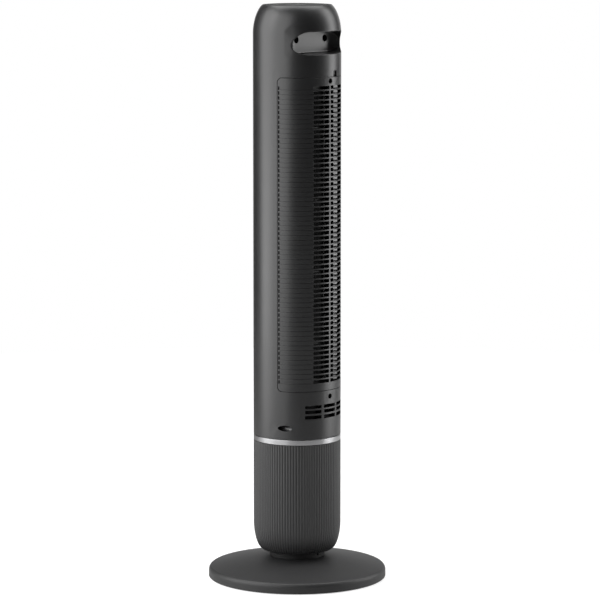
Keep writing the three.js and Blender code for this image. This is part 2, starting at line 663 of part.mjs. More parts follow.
// Cross-flow wheel: curved blades round the rim, tied by rings and closed by two end discs.
function blowerWheel() {
  const { r, bottom, top, blades, bays, disc } = WHEEL;
  const inner = r - 9.5;
  const place = (radius, turn) =>
    new THREE.Vector2(radius * Math.cos(radians(turn)), radius * Math.sin(radians(turn)));
  const blade = prism(
    new THREE.Shape([place(inner, 0), place(r - 5, 0.6), place(r - 1, 8), place(r - 5.6, 3.4)]),
    [bottom + 1, top - 1],
  );
  const discs = spaced(bottom, top - disc, bays).map((z, i) => {
    const plain = rod("z", r, z, z + disc, [0, 0], blades);
    const open = rod("z", inner - 1.5, z - 1, z + disc + 1, [0, 0], blades);
    return i === 0 || i === bays ? plain : cut(plain, open);
  });
  const allBlades = Array.from({ length: blades }, (_, i) => blade.rotate([0, 0, (i * 360) / blades]));
  const hubs = [rod("z", 10, bottom, bottom + 12, [0, 0]), rod("z", 8, top - 12, top, [0, 0])];
  const bores = [
    rod("z", SHAFT_R + GAP, bottom - 5, bottom + 20, [0, 0]),
    rod("z", AXLE_R + GAP, top - 20, top + 5, [0, 0]),
  ];
  return cut(join(...discs, ...allBlades, ...hubs), ...bores);
}

// ---------------------------------------------------------------- fasteners
// Pan-head screw pointing down, the underside of its head at zero.
const screw = (length, headR = 3.3, shankR = 1.6) =>
  turned([[0, -length], [shankR, -length], [shankR, 0], [headR, 0], [headR - 0.6, 2.2], [0, 2.2]], 6);

// ---------------------------------------------------------------- finishes
const FINISH = {
  charcoal: { color: 0x2a2b2e, roughness: 0.38, metalness: 0 },
  matteCharcoal: { color: 0x2c2d2f, roughness: 0.6, metalness: 0 },
  black: { color: 0x111213, roughness: 0.5, metalness: 0 },
  silver: { color: 0xb9babc, roughness: 0.3, metalness: 0.9 },
  rubber: { color: 0x18181a, roughness: 0.9, metalness: 0 },
  steel: { color: 0x9a9c9f, roughness: 0.35, metalness: 1 },
  zinc: { color: 0x8f9294, roughness: 0.4, metalness: 1 },
  nylon: { color: 0xd9d6cc, roughness: 0.5, metalness: 0 },
  bronze: { color: 0xa8793c, roughness: 0.4, metalness: 1 },
  smoked: { color: 0x08090a, roughness: 0.1, metalness: 0 },
  board: { color: 0x1f5a36, roughness: 0.5, metalness: 0 },
};

// ---------------------------------------------------------------- assembly
function add(group, name, body, finish, position = [0, 0, 0], rotation = [0, 0, 0]) {
  const mesh = new THREE.Mesh(geometryOf(body), new THREE.MeshStandardMaterial(FINISH[finish]));
  mesh.name = name;
  mesh.position.set(...position);
  mesh.rotation.set(...rotation);
  group.add(mesh);
}

function makeBase() {
  const group = new THREE.Group();
  const upsideDown = [Math.PI, 0, 0];
  add(group, "base_disc", baseDisc(), "matteCharcoal");
  add(group, "base_weight", baseWeight(), "zinc");
  add(group, "neck_collar", neckCollar(), "matteCharcoal");
  add(group, "cord_grommet", cordGrommet(), "rubber");
  add(group, "pivot_tube", pivotTube(), "steel");
  add(group, "fixed_gear", fixedGear(), "nylon");
  add(group, "thrust_washer", thrustWasher(), "nylon");
  add(group, "pivot_nut", pivotNut(), "zinc");
  around(FOOT.count, FOOT.circle).forEach(([x, y], i) =>
    add(group, `base_foot_${i + 1}`, baseFoot(), "rubber", [x, y, 0]),
  );
  const under = BASE_TOP_Z - WALL - GAP;
  baseScrewPlaces().forEach(([x, y], i) =>
    add(group, `base_screw_${i + 1}`, screw(5.5), "zinc", [x, y, under], upsideDown),
  );
  return group;
}

function makeSwivel() {
  const group = new THREE.Group();
  add(group, "swivel_plate", swivelPlate(), "black");
  add(group, "fluted_skirt", flutedSkirt(), "matteCharcoal");
  add(group, "trim_ring", trimRing(), "silver");
  add(group, "oscillation_motor", oscillationMotor(), "steel", [0, PINION_Y, 0]);
  add(group, "power_board", powerBoard(), "board");
  swivelScrewPlaces().forEach(([x, y], i) =>
    add(group, `swivel_screw_${i + 1}`, screw(10), "zinc", [x, y, PLATE_Z[1] + GAP]),
  );
  return group;
}

function makeCasing() {
  const group = new THREE.Group();
  const facingBack = [-Math.PI / 2, 0, 0]; // the head looks along +Y
  add(group, "rear_shell", rearShell(), "charcoal");
  add(group, "rear_grille", rearGrille(), "charcoal");
  add(group, "front_cover", frontCover(), "charcoal");
  add(group, "front_grille", frontGrille(), "black");
  add(group, "grille_screw", screw(10), "zinc", [0, 68 + GAP, GRILLE_SCREW_Z], facingBack);
  add(group, "rear_screw_low", screw(8), "zinc", [0, LOW_BOSS.seat + GAP, LOW_SCREW_Z], facingBack);
  for (const [side, name] of [[1, "left"], [-1, "right"]]) {
    const grip = [side * GRIP_SCREW.x, GRIP_BOSS.seat + GAP, GRIP_SCREW.z];
    const flank = [side * SIDE_SCREW.x, SIDE_BOSS.seat + GAP, SIDE_SCREW.z];
    add(group, `handle_screw_${name}`, screw(12), "zinc", grip, facingBack);
    add(group, `side_screw_${name}`, screw(12), "zinc", flank, facingBack);
  }
  return group;
}

function makeControlHead() {
  const group = new THREE.Group();
  add(group, "top_panel", topPanel(), "black");
  add(group, "display_window", displayWindow(), "smoked");
  add(group, "control_board", controlBoard(), "board");
  const names = ["timer", "mode", "power", "speed", "swing"];
  buttonPlaces().forEach(([x, y], i) =>
    add(group, `button_${names[i]}`, buttonCap(), "charcoal", [x, y, 0]),
  );
  return group;
}

function makeBlower() {
  const group = new THREE.Group();
  add(group, "motor_chassis", motorChassis(), "black");
  add(group, "fan_motor", fanMotor(), "steel");
  add(group, "motor_bush", bush(SHAFT_R, 8, BULKHEAD_Z), "bronze");
  add(group, "motor_shaft", rod("z", SHAFT_R, ...SHAFT_Z, [0, 0]), "steel");
  add(group, "blower_wheel", blowerWheel(), "black");
  add(group, "top_axle", rod("z", AXLE_R, WHEEL.top - 10, 892, [0, 0]), "steel");
  add(group, "head_plate", headPlate(), "black");
  add(group, "top_bearing_bush", bush(AXLE_R, 7, HEAD_PLATE_Z), "bronze");
  add(group, "volute_wall", voluteWall(), "black");
  add(group, "vortex_tongue", vortexTongue(), "black");
  return group;
}

const towerFan = new THREE.Group();
const column = new THREE.Group();
column.add(makeSwivel(), makeCasing(), makeControlHead(), makeBlower());
add(column, "drive_pinion", drivePinion(), "nylon", [0, PINION_Y, 0]);
towerFan.add(makeBase(), column);

export default towerFan;
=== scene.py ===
"""Tower fan: the moulded, turned and plated pieces that people see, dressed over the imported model."""
import math

import bmesh
import bpy
from mathutils import Matrix, Vector
from mathutils.geometry import delaunay_2d_cdt


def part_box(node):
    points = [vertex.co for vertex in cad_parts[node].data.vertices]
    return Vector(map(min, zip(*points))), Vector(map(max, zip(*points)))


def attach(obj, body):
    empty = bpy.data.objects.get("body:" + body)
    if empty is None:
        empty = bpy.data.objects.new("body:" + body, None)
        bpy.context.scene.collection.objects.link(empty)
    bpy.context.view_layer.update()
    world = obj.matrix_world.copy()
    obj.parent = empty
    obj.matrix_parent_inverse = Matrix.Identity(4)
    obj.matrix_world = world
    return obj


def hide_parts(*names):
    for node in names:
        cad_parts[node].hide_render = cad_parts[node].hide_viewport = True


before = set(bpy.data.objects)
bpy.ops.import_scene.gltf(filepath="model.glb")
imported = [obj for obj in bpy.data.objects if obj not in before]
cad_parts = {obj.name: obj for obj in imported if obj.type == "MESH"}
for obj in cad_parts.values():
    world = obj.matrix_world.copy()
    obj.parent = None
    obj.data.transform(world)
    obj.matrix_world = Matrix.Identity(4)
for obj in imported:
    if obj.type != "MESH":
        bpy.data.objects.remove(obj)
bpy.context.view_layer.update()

# ---------------------------------------------------------------- base disc
# The foot of the fan: one wide moulding in matt charcoal plastic, with an upright rim, a rounded
# shoulder and a dome that flattens at the neck. Ribs, foot bosses and ballast posts stiffen it below.
# Lengths are millimetres until a mesh is made.


class Wire:
    """An output of a material's node, which can be added, subtracted and scaled like a number."""

    def __init__(self, finish, socket):
        self.finish = finish
        self.socket = socket

    def maths(self, operation, *values):
        return self.finish.node("Math", {"operation": operation}, dict(enumerate(values)))

    def __add__(self, other):
        return self.maths("ADD", self, other)

    def __sub__(self, other):
        return self.maths("SUBTRACT", self, other)

    def __rsub__(self, other):
        return self.maths("SUBTRACT", other, self)

    def __mul__(self, other):
        return self.maths("MULTIPLY", self, other)

    __radd__ = __add__
    __rmul__ = __mul__


class Finish:
    """A material in the making. Constants go on its Principled shader; node() adds any other node."""

    def __init__(self, name, constants):
        self.material = bpy.data.materials.new(name)
        self.material.use_nodes = True
        self.tree = self.material.node_tree
        self.shader = self.tree.nodes["Principled BSDF"]
        self.feed(self.shader, constants)

    def feed(self, node, inputs):
        for name, value in inputs.items():
            if isinstance(value, Wire):
                self.tree.links.new(value.socket, node.inputs[name])
            else:
                node.inputs[name].default_value = value

    def node(self, kind, settings=None, inputs=None, output=0):
        made = self.tree.nodes.new("ShaderNode" + kind)
        for name, value in (settings or {}).items():
            if name == "stops":
                for stop, (place, colour) in zip(self.stops_of(made, len(value)), value):
                    stop.position, stop.color = place, colour
            else:
                setattr(made, name, value)
        self.feed(made, inputs or {})
        return Wire(self, made.outputs[output])

    @staticmethod
    def stops_of(ramp, count):
        stops = ramp.color_ramp.elements
        while len(stops) < count:
            stops.new(1.0)
        return stops

    def done(self, inputs):
        """Feeds the shader and gives back the material."""
        self.feed(self.shader, inputs)
        return self.material

    def place(self):
        return self.node("TexCoord", output="Object")

    def noise(self, scale, detail=2.0, roughness=0.5, vector=None):
        inputs = {"Vector": vector or self.place(), "Scale": scale, "Detail": detail, "Roughness": roughness}
        return self.node("TexNoise", None, inputs)

    def blend(self, factor, first, second):
        inputs = {"Factor": factor, "A": first, "B": second}
        return self.node("Mix", {"data_type": "RGBA"}, inputs, output=2)

    def bump(self, height, distance, strength=1.0):
        return self.node("Bump", None, {"Height": height, "Distance": distance, "Strength": strength})


def grey(level, tint=(1.0, 1.0, 1.0)):
    return (level * tint[0], level * tint[1], level * tint[2], 1.0)


def moulded(name, colour, worn, roughness, specular=0.5):
    """Injection-moulded plastic: a spark-eroded grain, and a sheen that handling has made uneven."""
    grain, relief = 0.00035, 0.000012
    finish = Finish(name, {"Specular IOR Level": specular})
    pits = finish.noise(1 / grain, 3.0, 0.65)
    handling = finish.noise(14, 5.0, 0.6)
    specks = finish.noise(420, 2.0, 0.5)
    return finish.done({
        "Base Color": finish.blend(handling * 0.7 + specks * 0.3, colour, worn),
        "Roughness": roughness - 0.07 + handling * 0.1 + pits * 0.04,
        "Normal": finish.bump(pits, relief, 0.6),
    })


def placed(name, data):
    made = bpy.data.objects.new(name, data)
    bpy.context.scene.collection.objects.link(made)
    return made


class Skin:
    """A surface gathered from rings of points, strips between rings and areas pierced by holes."""

    def __init__(self):
        self.points = []
        self.faces = []
        self.inside_out = False

    def ring(self, points):
        first = len(self.points)
        self.points.extend(Vector(point) for point in points)
        return list(range(first, len(self.points)))

    def face(self, corners):
        self.faces.append(corners[::-1] if self.inside_out else corners)

    def strip(self, a, b, closed=True):
        for i in range(len(a) if closed else len(a) - 1):
            j = (i + 1) % len(a)
            self.face([a[i], a[j], b[j], b[i]])

    def sleeve(self, rings, closed=True):
        """Strips from each ring of points to the next."""
        rows = [self.ring(points) for points in rings]
        for a, b in zip(rows, rows[1:]):
            self.strip(a, b, closed)

    def pierced(self, outline, holes, place, loose=()):
        """Fills a flat outline around its holes; place(u, v) gives each point its spot in space."""
        loops = [outline, *holes]
        flat = [Vector(point) for loop in loops for point in loop] + [Vector(point) for point in loose]
        starts = [sum(len(loop) for loop in loops[:i]) for i in range(len(loops))]
        outlines = [list(range(start, start + len(loop))) for start, loop in zip(starts, loops)]
        found, _, triangles, _, _, owners = delaunay_2d_cdt(flat, [], outlines, 1, 1e-7, True)
        index = self.ring([place(u, v) for u, v in found])
        for triangle, owner in zip(triangles, owners):
            if list(owner) == [0]:
                self.face([index[i] for i in triangle])

    def moved(self, matrix):
        self.points = [matrix @ point for point in self.points]
        return self

    def piece(self, name, crease=38):
        mesh = bpy.data.meshes.new(name)
        mesh.from_pydata([point * 0.001 for point in self.points], [], self.faces)
        shape = bmesh.new()
        shape.from_mesh(mesh)
        bmesh.ops.remove_doubles(shape, verts=shape.verts, dist=2e-7)
        loose = [vert for vert in shape.verts if not vert.link_faces]
        bmesh.ops.delete(shape, geom=loose, context="VERTS")
        shape.to_mesh(mesh)
        shape.free()
        mesh.shade_smooth()
        mesh.set_sharp_from_angle(angle=math.radians(crease))
        made = placed(name, mesh)
        made.modifiers.new("even shading", "WEIGHTED_NORMAL").keep_sharp = True
        return made


def spaced(first, last, steps):
    return [first + (last - first) * i / steps for i in range(steps + 1)]


def arc(centre, radii, start, end, steps):
    """Points of an ellipse's arc from one angle in degrees to another."""
    turns = [math.radians(angle) for angle in spaced(start, end, steps)]
    return [(centre[0] + radii[0] * math.cos(t), centre[1] + radii[1] * math.sin(t)) for t in turns]


def circle(radius, z, sides, centre=(0.0, 0.0)):
    turns = [2 * math.pi * i / sides for i in range(sides)]
    return [(centre[0] + radius * math.cos(t), centre[1] + radius * math.sin(t), z) for t in turns]


def turned(outline, sides, centre=(0.0, 0.0)):
    """Turns a closed (r, z) outline, anticlockwise, about an upright line."""
    skin = Skin()
    rings = [circle(r, z, sides, centre) for r, z in outline]
    skin.sleeve(rings + rings[:1] if outline[0][0] > 0 else rings)
    return skin


def rod(radius, bottom, top, sides, centre=(0.0, 0.0)):
    return turned([(0, bottom), (radius, bottom), (radius, top), (0, top)], sides, centre)


def prism(outline, bottom, top):
    """An upright solid over an (x, y) outline, anticlockwise from above."""
    skin = Skin()
    low, high = [[(x, y, z) for x, y in outline] for z in (bottom, top)]
    skin.sleeve([low, high])
    skin.pierced(outline, [], lambda x, y: (x, y, top))
    skin.inside_out = True
    skin.pierced(outline, [], lambda x, y: (x, y, bottom))
    skin.inside_out = False
    return skin


def extent(node):
    """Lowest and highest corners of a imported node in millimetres."""
    low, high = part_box(node)
    return low * 1000, high * 1000


def fit(piece, material, body, slot, *nodes):
    """Finishes a piece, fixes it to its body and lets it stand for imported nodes."""
    piece.data.materials.clear()
    piece.data.materials.append(material)
    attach(piece, body)
    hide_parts(*nodes)
    return piece


def middle_of(node):
    low, high = extent(node)
    return (low + high) / 2


def three_round(radius):
    """Three places evenly round the axis, the first at the back."""
    return [(radius * math.cos(t), radius * math.sin(t)) for t in map(math.radians, (90, 210, 330))]


def combined(piece, operation, *others):
    """Joins other solids to the first one or cuts them out of it."""
    for other in others:
        step = piece.modifiers.new("combine", "BOOLEAN")
        step.operation, step.solver, step.object = operation, "MANIFOLD", other
        bpy.context.view_layer.objects.active = piece
        bpy.ops.object.modifier_move_to_index(modifier=step.name, index=0)
        bpy.ops.object.modifier_apply(modifier=step.name)
        bpy.data.objects.remove(other)
    return piece


disc_low, disc_high = extent("base_disc")
collar_r = extent("neck_collar")[1].x
base_r, base_wall, disc_hole_r = disc_high.x, 2.5, 13.0
rim_low, rim_top, rim_bevel = 1.5, 12.0, 0.8
edge_r, edge_z, dome_curve = base_r - 6.0, 19.8, 1.27
dome_fall = disc_high.z - edge_z
boss_top, foot_boss_r, rib_low = edge_z - 1.5, 9.0, disc_low.z + 11
rib_half, rib_start, rib_end = 1.2, 52.0, 136.0
post_ring, post_r, post_foot, post_top = 92.0, 3.6, 9.0, disc_high.z - 8.8


def base_section(inset):
    """Half section of the base's upper side, from the rim to the middle, inset by a wall."""
    radii = (base_r - edge_r - inset, edge_z - rim_top - inset)
    rise = arc((edge_r, rim_top), radii, 0, 90, 14)
    dome = []
    for r in spaced(edge_r, collar_r, 24)[1:]:
        out = (r - collar_r) / (edge_r - collar_r)
        dome.append((r, disc_high.z - inset - dome_fall * out ** dome_curve))
    return rise + dome + [(disc_hole_r, disc_high.z - inset)]


foot_line = [(base_r - base_wall, rim_low), (base_r - rim_bevel, rim_low), (base_r, rim_low + rim_bevel)]
disc = turned(foot_line + base_section(0) + base_section(base_wall)[::-1], 180).piece("base_disc_moulding")
bracing = []
crest = [(rib_end, disc_high.z - 19.3), (96.0, disc_high.z - 9.7), (rib_start, disc_high.z - 1.6)]
for number in range(6):
    spot = middle_of(f"base_foot_{number + 1}")
    bracing.append(rod(foot_boss_r, disc_low.z, boss_top, 32, spot).piece("foot_boss"))
    rib = prism([(rib_end, rib_low), *crest, (rib_start, rib_low)], -rib_half, rib_half)
    upright = Matrix.Rotation(math.atan2(spot.y, spot.x), 4, "Z") @ Matrix.Rotation(math.pi / 2, 4, "X")
    bracing.append(rib.moved(upright).piece("rib"))
for spot in three_round(post_ring):
    bracing.append(rod(post_r, post_foot, post_top, 24, spot).piece("post"))
combined(disc, "UNION", *bracing)
base_greys = grey(0.010, (1, 1.0, 1.04)), grey(0.013, (1, 1.0, 1.03))
fit(disc, moulded("matt_charcoal", *base_greys, 0.54, 0.44), "base", "base_plastic", "base_disc")

# ---------------------------------------------------------------- neck
# Collar on the base that the column turns over, moulded in the base's plastic. The cord comes in
# through a hole at its back, where a soft rubber bush keeps it off the edge.


def eased(corners, steps=4):
    """A closed outline whose corners (r, z, radius) are rounded over; a corner without radius is sharp."""
    line = []
    for before, corner, after in zip(corners[-1:] + corners[:-1], corners, corners[1:] + corners[:1]):
        here = Vector(corner[:2])
        if len(corner) < 3:
            line.append(tuple(here))
            continue
        back = (Vector(before[:2]) - here).normalized()
        onward = (Vector(after[:2]) - here).normalized()
        half = back.angle(onward) / 2
        centre = here + (back + onward).normalized() * corner[2] / math.sin(half)
        reach = corner[2] / math.tan(half)
        first, last = here + back * reach - centre, here + onward * reach - centre
        turn = first.angle(last)
        for i in range(steps + 1):
            share = i / steps
            spot = first * math.sin((1 - share) * turn) + last * math.sin(share * turn)
            line.append(tuple(centre + spot / math.sin(turn)))
    return line


collar_low, collar_high = extent("neck_collar")
pivot_r, inner_r, web_z = 14.0, collar_r - 3, collar_low.z + 2.6
stop_half, stop_start, stop_bearing = 2.0, 40.0, 52.4
cord_z, cord_r = 44.7, 2.9
collar = turned(eased([
    (pivot_r, collar_low.z), (collar_r, collar_low.z), (collar_r, collar_high.z, 0.8),
    (inner_r, collar_high.z, 0.6), (inner_r, web_z, 0.8), (pivot_r, web_z),
]), 144).piece("neck_collar_moulding")
stops = []
for bearing in (-stop_bearing, stop_bearing):
    outline = [(-stop_half, stop_start), (stop_half, stop_start), (stop_half, inner_r + 1),
               (-stop_half, inner_r + 1)]
    stop = prism(outline, web_z - 1, collar_high.z - 0.4)
    stops.append(stop.moved(Matrix.Rotation(math.radians(bearing), 4, "Z")).piece("stop"))
combined(collar, "UNION", *stops)
to_back = Matrix.Rotation(-math.pi / 2, 4, "X")
at_cord = Matrix.Translation((0, 0, cord_z)) @ to_back
drill = rod(cord_r, inner_r - 5, collar_r + 5, 32)
combined(collar, "DIFFERENCE", drill.moved(at_cord).piece("drill"))
# Painted shade: the collar's charcoal is darker than the base's, for the shade under the skirt.
neck_shaded_charcoal = moulded("neck_shaded_charcoal", grey(0.005), grey(0.007), 0.62, 0.22)
fit(collar, neck_shaded_charcoal, "base", "base_plastic", "neck_collar")

bush_low, bush_high = extent("cord_grommet")
bush_r, bush_bore_r, bush_edge = bush_high.x, bush_high.x - 0.6, 0.2
bush = turned(eased([
    (bush_bore_r, bush_low.y), (bush_r, bush_low.y, bush_edge), (bush_r, bush_high.y, bush_edge),
    (bush_bore_r, bush_high.y, bush_edge),
]), 32).moved(at_cord).piece("cord_bush")


def soft_rubber(name, colour):
    """Rubber with a dusty bloom and a fine matt skin."""
    finish = Finish(name, {"Specular IOR Level": 0.3})
    bloom = finish.noise(60, 4.0, 0.6)
    skin = finish.noise(2400, 2.0, 0.5)
    return finish.done({
        "Base Color": finish.blend(bloom, grey(colour), grey(colour * 1.7)),
        "Roughness": 0.8 + bloom * 0.15,
        "Normal": finish.bump(skin, 0.00003, 0.5),
    })


rubber = soft_rubber("soft_rubber", 0.014)
fit(bush, rubber, "base", "rubber", "cord_grommet")

# ---------------------------------------------------------------- feet
# Six rubber pads that keep the fan from sliding. Each is moulded as a short cone with a rounded tread
# and pressed into the base's underside.

pad_taper, tread_edge, pad_edge = 1.2, 0.5, 0.3
for number in range(6):
    node = f"base_foot_{number + 1}"
    low, high = extent(node)
    pad_r = (high.x - low.x) / 2
    foot = turned(eased([
        (0, low.z), (pad_r - pad_taper, low.z, tread_edge), (pad_r, high.z, pad_edge), (0, high.z),
    ]), 48, middle_of(node)).piece(f"foot_pad_{number + 1}")
    fit(foot, rubber, "base", "rubber", node)

# ---------------------------------------------------------------- fluted skirt
# Lower casing of the column, moulded in charcoal a little glossier than the base's. Ninety-six reeds
# run down its side and draw together round its foot, as the ribs of the mould were cut.

skirt_low, skirt_high = extent("fluted_skirt")
column_r = extent("trim_ring")[1].x
reeds, reed_depth, reed_curve, around_reed, skirt_top = 96, 0.9, 1.3, 10, skirt_high.z - 1.2
foot_width, foot_height = 17.1, 50.0
mouth_r, skirt_wall, reeds_start = 50.0, 3.2, 1.5


def skirt_section():
    """Half section (r, z, share of the reeds' depth) from the mouth up the outside and down inside."""
    foot_centre = (column_r - foot_width, skirt_low.z + foot_height)
    outside = arc(foot_centre, (foot_width, foot_height), -90, 0, 22)
    straight = [(column_r, z) for z in spaced(foot_centre[1], skirt_top - 0.5, 10)[1:]]
    top = arc((column_r - 0.5, skirt_top - 0.5), (0.5, 0.5), 0, 90, 3)[1:]
    inner_radii = (foot_width - skirt_wall, foot_height - skirt_wall)
    inside = [(column_r - skirt_wall, skirt_top)] + arc(foot_centre, inner_radii, 0, -90, 14)
    lip = [(mouth_r, skirt_low.z + 3), (mouth_r, skirt_low.z + 0.8), (mouth_r + 0.8, skirt_low.z)]
    reeded = [(r, z, min(1.0, (z - skirt_low.z) / reeds_start)) for r, z in outside + straight]
    return reeded + [(r, z, 1.0) for r, z in top] + [(r, z, 0.0) for r, z in inside + lip]


skirt = Skin()
rings = []
for r, z, share in skirt_section():
    ring = []
    for i in range(reeds * around_reed):
        turn = 2 * math.pi * i / (reeds * around_reed)
        hollow = (1 - abs(math.sin(reeds * turn / 2))) ** reed_curve
        reach = r - reed_depth * share * hollow
        ring.append((reach * math.cos(turn), reach * math.sin(turn), z))
    rings.append(ring)
skirt.sleeve(rings + rings[:1])
skirt_piece = skirt.piece("fluted_skirt_moulding", crease=60)
skirt_charcoal = moulded("skirt_charcoal", grey(0.012, (1, 1.0, 1.03)), grey(0.016, (1, 1.0, 1.02)), 0.46)
fit(skirt_piece, skirt_charcoal, "column", "base_plastic", "fluted_skirt")

# ---------------------------------------------------------------- trim ring
# Satin chrome band, plated on a plastic moulding. It covers the joint between the skirt and the upper
# casing, and a hidden lip on its upper side locates the casing.

ring_low, ring_high = extent("trim_ring")
band_low, band_top = ring_low.z - 1.2, 254.3
ring_inner, skirt_lap, shell_lap = 70.0, 72.5, 72.0
trim = turned(eased([
    (ring_inner, ring_low.z), (skirt_lap, ring_low.z), (skirt_lap, band_low), (column_r, band_low, 0.6),
    (column_r, band_top, 0.7), (shell_lap, band_top), (shell_lap, ring_high.z, 0.4),
    (ring_inner, ring_high.z),
]), 256).piece("trim_band")


def satin_metal(name, colour, roughness, brushing=0.0):
    """Bare or plated metal with faint cloudiness; brushing draws fine lines round the axis."""
    finish = Finish(name, {"Metallic": 1.0})
    place = finish.place()
    cloud = finish.noise(35, 4.0, 0.6, place)
    rub = finish.node("Mapping", None, {"Vector": place, "Scale": (30, 30, 4000)})
    lines = finish.noise(1.0, 2.0, 0.5, rub)
    dulled = tuple(channel * 0.86 for channel in colour[:3]) + (1.0,)
    return finish.done({
        "Base Color": finish.blend(cloud, colour, dulled),
        "Roughness": roughness - 0.03 + cloud * 0.06 + lines * (0.12 * brushing),
        "Normal": finish.bump(lines, 0.000008, brushing),
    })


satin_chrome = satin_metal("satin_chrome", (0.32, 0.32, 0.325, 1.0), 0.27, 0.5)
fit(trim, satin_chrome, "column", "silver", "trim_ring")

# ---------------------------------------------------------------- rear shell
# The column's long rear casing, one moulding in satin charcoal from the trim ring over the rounded
# shoulder. It holds the hand grip, the inlet panel's seat, nine vents and the bores for the screws.

shell_low, shell_high = extent("rear_shell")
wall = 2.5
shoulder_z, shoulder_wide, shoulder_tall, shoulder_curve = 952.0, 25.6, 52.0, 1.8
rim_r, rim_edge, seat_r, foot_edge = 59.3, 0.35, 55.0, 0.5
panel_seat_z = shell_high.z - 3.0
rear_half = 139.8


def wall_radius(z, inset=0.0):
    """Radius of the column's wall: straight, then a slack ellipse over the shoulder; eased at its foot."""
    if z > shoulder_z:
        rise = min(1.0, (z - shoulder_z) / (shoulder_tall - inset))
        return column_r - shoulder_wide + (shoulder_wide - inset) * math.sqrt(1 - rise ** shoulder_curve)
    foot = max(0.0, shell_low.z + foot_edge - z)
    return column_r - inset - (foot_edge - math.sqrt(foot_edge ** 2 - foot * foot))


def on_wall(u, z, inset=0.0):
    """A spot on the wall; u is the way round it from the middle of the back, towards -X."""
    r = wall_radius(z, inset)
    return Vector((-r * math.sin(u / column_r), r * math.cos(u / column_r), z))


def way_round(degrees):
    return round(math.radians(degrees) * column_r, 5)


def grown(loop, reach):
    """A closed anticlockwise loop pushed outwards."""
    pushed = []
    for before, here, after in zip(loop[-1:] + loop[:-1], loop, loop[1:] + loop[:1]):
        along = (Vector(after) - Vector(before)).normalized()
        pushed.append((here[0] + along.y * reach, here[1] - along.x * reach))
    return pushed


def softened(outer, corner, inner, steps=3):
    """Rings that ease the edge between two rings over the sharp one between them."""
    rings = []
    for t in spaced(0, 1, steps):
        rings.append([
            (1 - t) ** 2 * Vector(a) + 2 * t * (1 - t) * Vector(b) + t * t * Vector(c)
            for a, b, c in zip(outer, corner, inner)
        ])
    return rings


def well(skin, loop, place, ease, depth):
    """Eased edge and wall of a hole in a surface; returns the loop where the surface begins."""
    mouth = grown(loop, ease)
    outer = [place(u, v, 0) for u, v in mouth]
    corner, inner, end = [[place(u, v, down) for u, v in loop] for down in (0, ease, depth)]
    skin.sleeve(softened(outer, corner, inner) + [end])
    return mouth


def patch_loop(left, right, bottom, top, corner, across=24, upward=2, round_steps=5):
    """Anticlockwise outline of a rectangle with round corners; its sides are cut into equal steps."""
    corners = [
        ((right - corner, bottom + corner), -90, (0, top - bottom - 2 * corner), upward),
        ((right - corner, top - corner), 0, (2 * corner - right + left, 0), across),
        ((left + corner, top - corner), 90, (0, bottom - top + 2 * corner), upward),
        ((left + corner, bottom + corner), 180, (right - left - 2 * corner, 0), across),
    ]
    loop = []
    for centre, angle, (run_u, run_z), steps in corners:
        bend = arc(centre, (corner, corner), angle, angle + 90, round_steps)
        loop += bend
        loop += [(bend[-1][0] + run_u * i / steps, bend[-1][1] + run_z * i / steps) for i in range(1, steps)]
    return loop


def wall_loop(left, right, bottom, top, *shape):
    """Outline of a patch on the casing's wall, between two angles in degrees from the back's middle."""
    return patch_loop(way_round(left), way_round(right), bottom, top, *shape)


def casing(skin, angles, rows, windows, inset=0.0):
    """The wall as a grid, pierced in windows (left and right in degrees, bottom, top, holes)."""
    windows = [(way_round(left), way_round(right), *rest) for left, right, *rest in windows]
    columns = sorted(map(way_round, angles))
    rows = sorted({*rows, *(edge for window in windows for edge in window[2:4])})
    grid = [skin.ring([on_wall(u, z, inset) for z in rows]) for u in columns]
    for i, (u0, u1) in enumerate(zip(columns, columns[1:])):
        for j, (z0, z1) in enumerate(zip(rows, rows[1:])):
            if not any(w[0] <= u0 and u1 <= w[1] and w[2] <= z0 and z1 <= w[3] for w in windows):
                skin.face([grid[i][j], grid[i + 1][j], grid[i + 1][j + 1], grid[i][j + 1]])
    for left, right, bottom, top, holes in windows:
        across = [u for u in columns if left <= u <= right]
        upward = [z for z in rows if bottom < z < top]
        outline = [(u, bottom) for u in across] + [(right, z) for z in upward]
        outline += [(u, top) for u in across[::-1]] + [(left, z) for z in upward[::-1]]
        skin.pierced(outline, holes, lambda u, z: on_wall(u, z, inset))
    return columns, rows


def ring_loop(x, y, radius, steps):
    return arc((x, y), (radius, radius), 0, 360, steps)[:-1]


def disc_loop(x, z, radius, steps=36):
    """A circle seen from behind, anticlockwise, as (-x, z)."""
    return ring_loop(-x, z, radius, steps)


def from_behind(loop, y):
    return [Vector((-u, y, z)) for u, z in loop]


def projected(loop, inset=0.0):
    """A loop seen from behind, thrown onto the wall, as the way round and the height."""
    return [(math.asin(u / wall_radius(z, inset)) * column_r, z) for u, z in loop]


def laid(loop, inset=0.0):
    """The same loop as points in space on the wall."""
    return [on_wall(u, z, inset) for u, z in projected(loop, inset)]


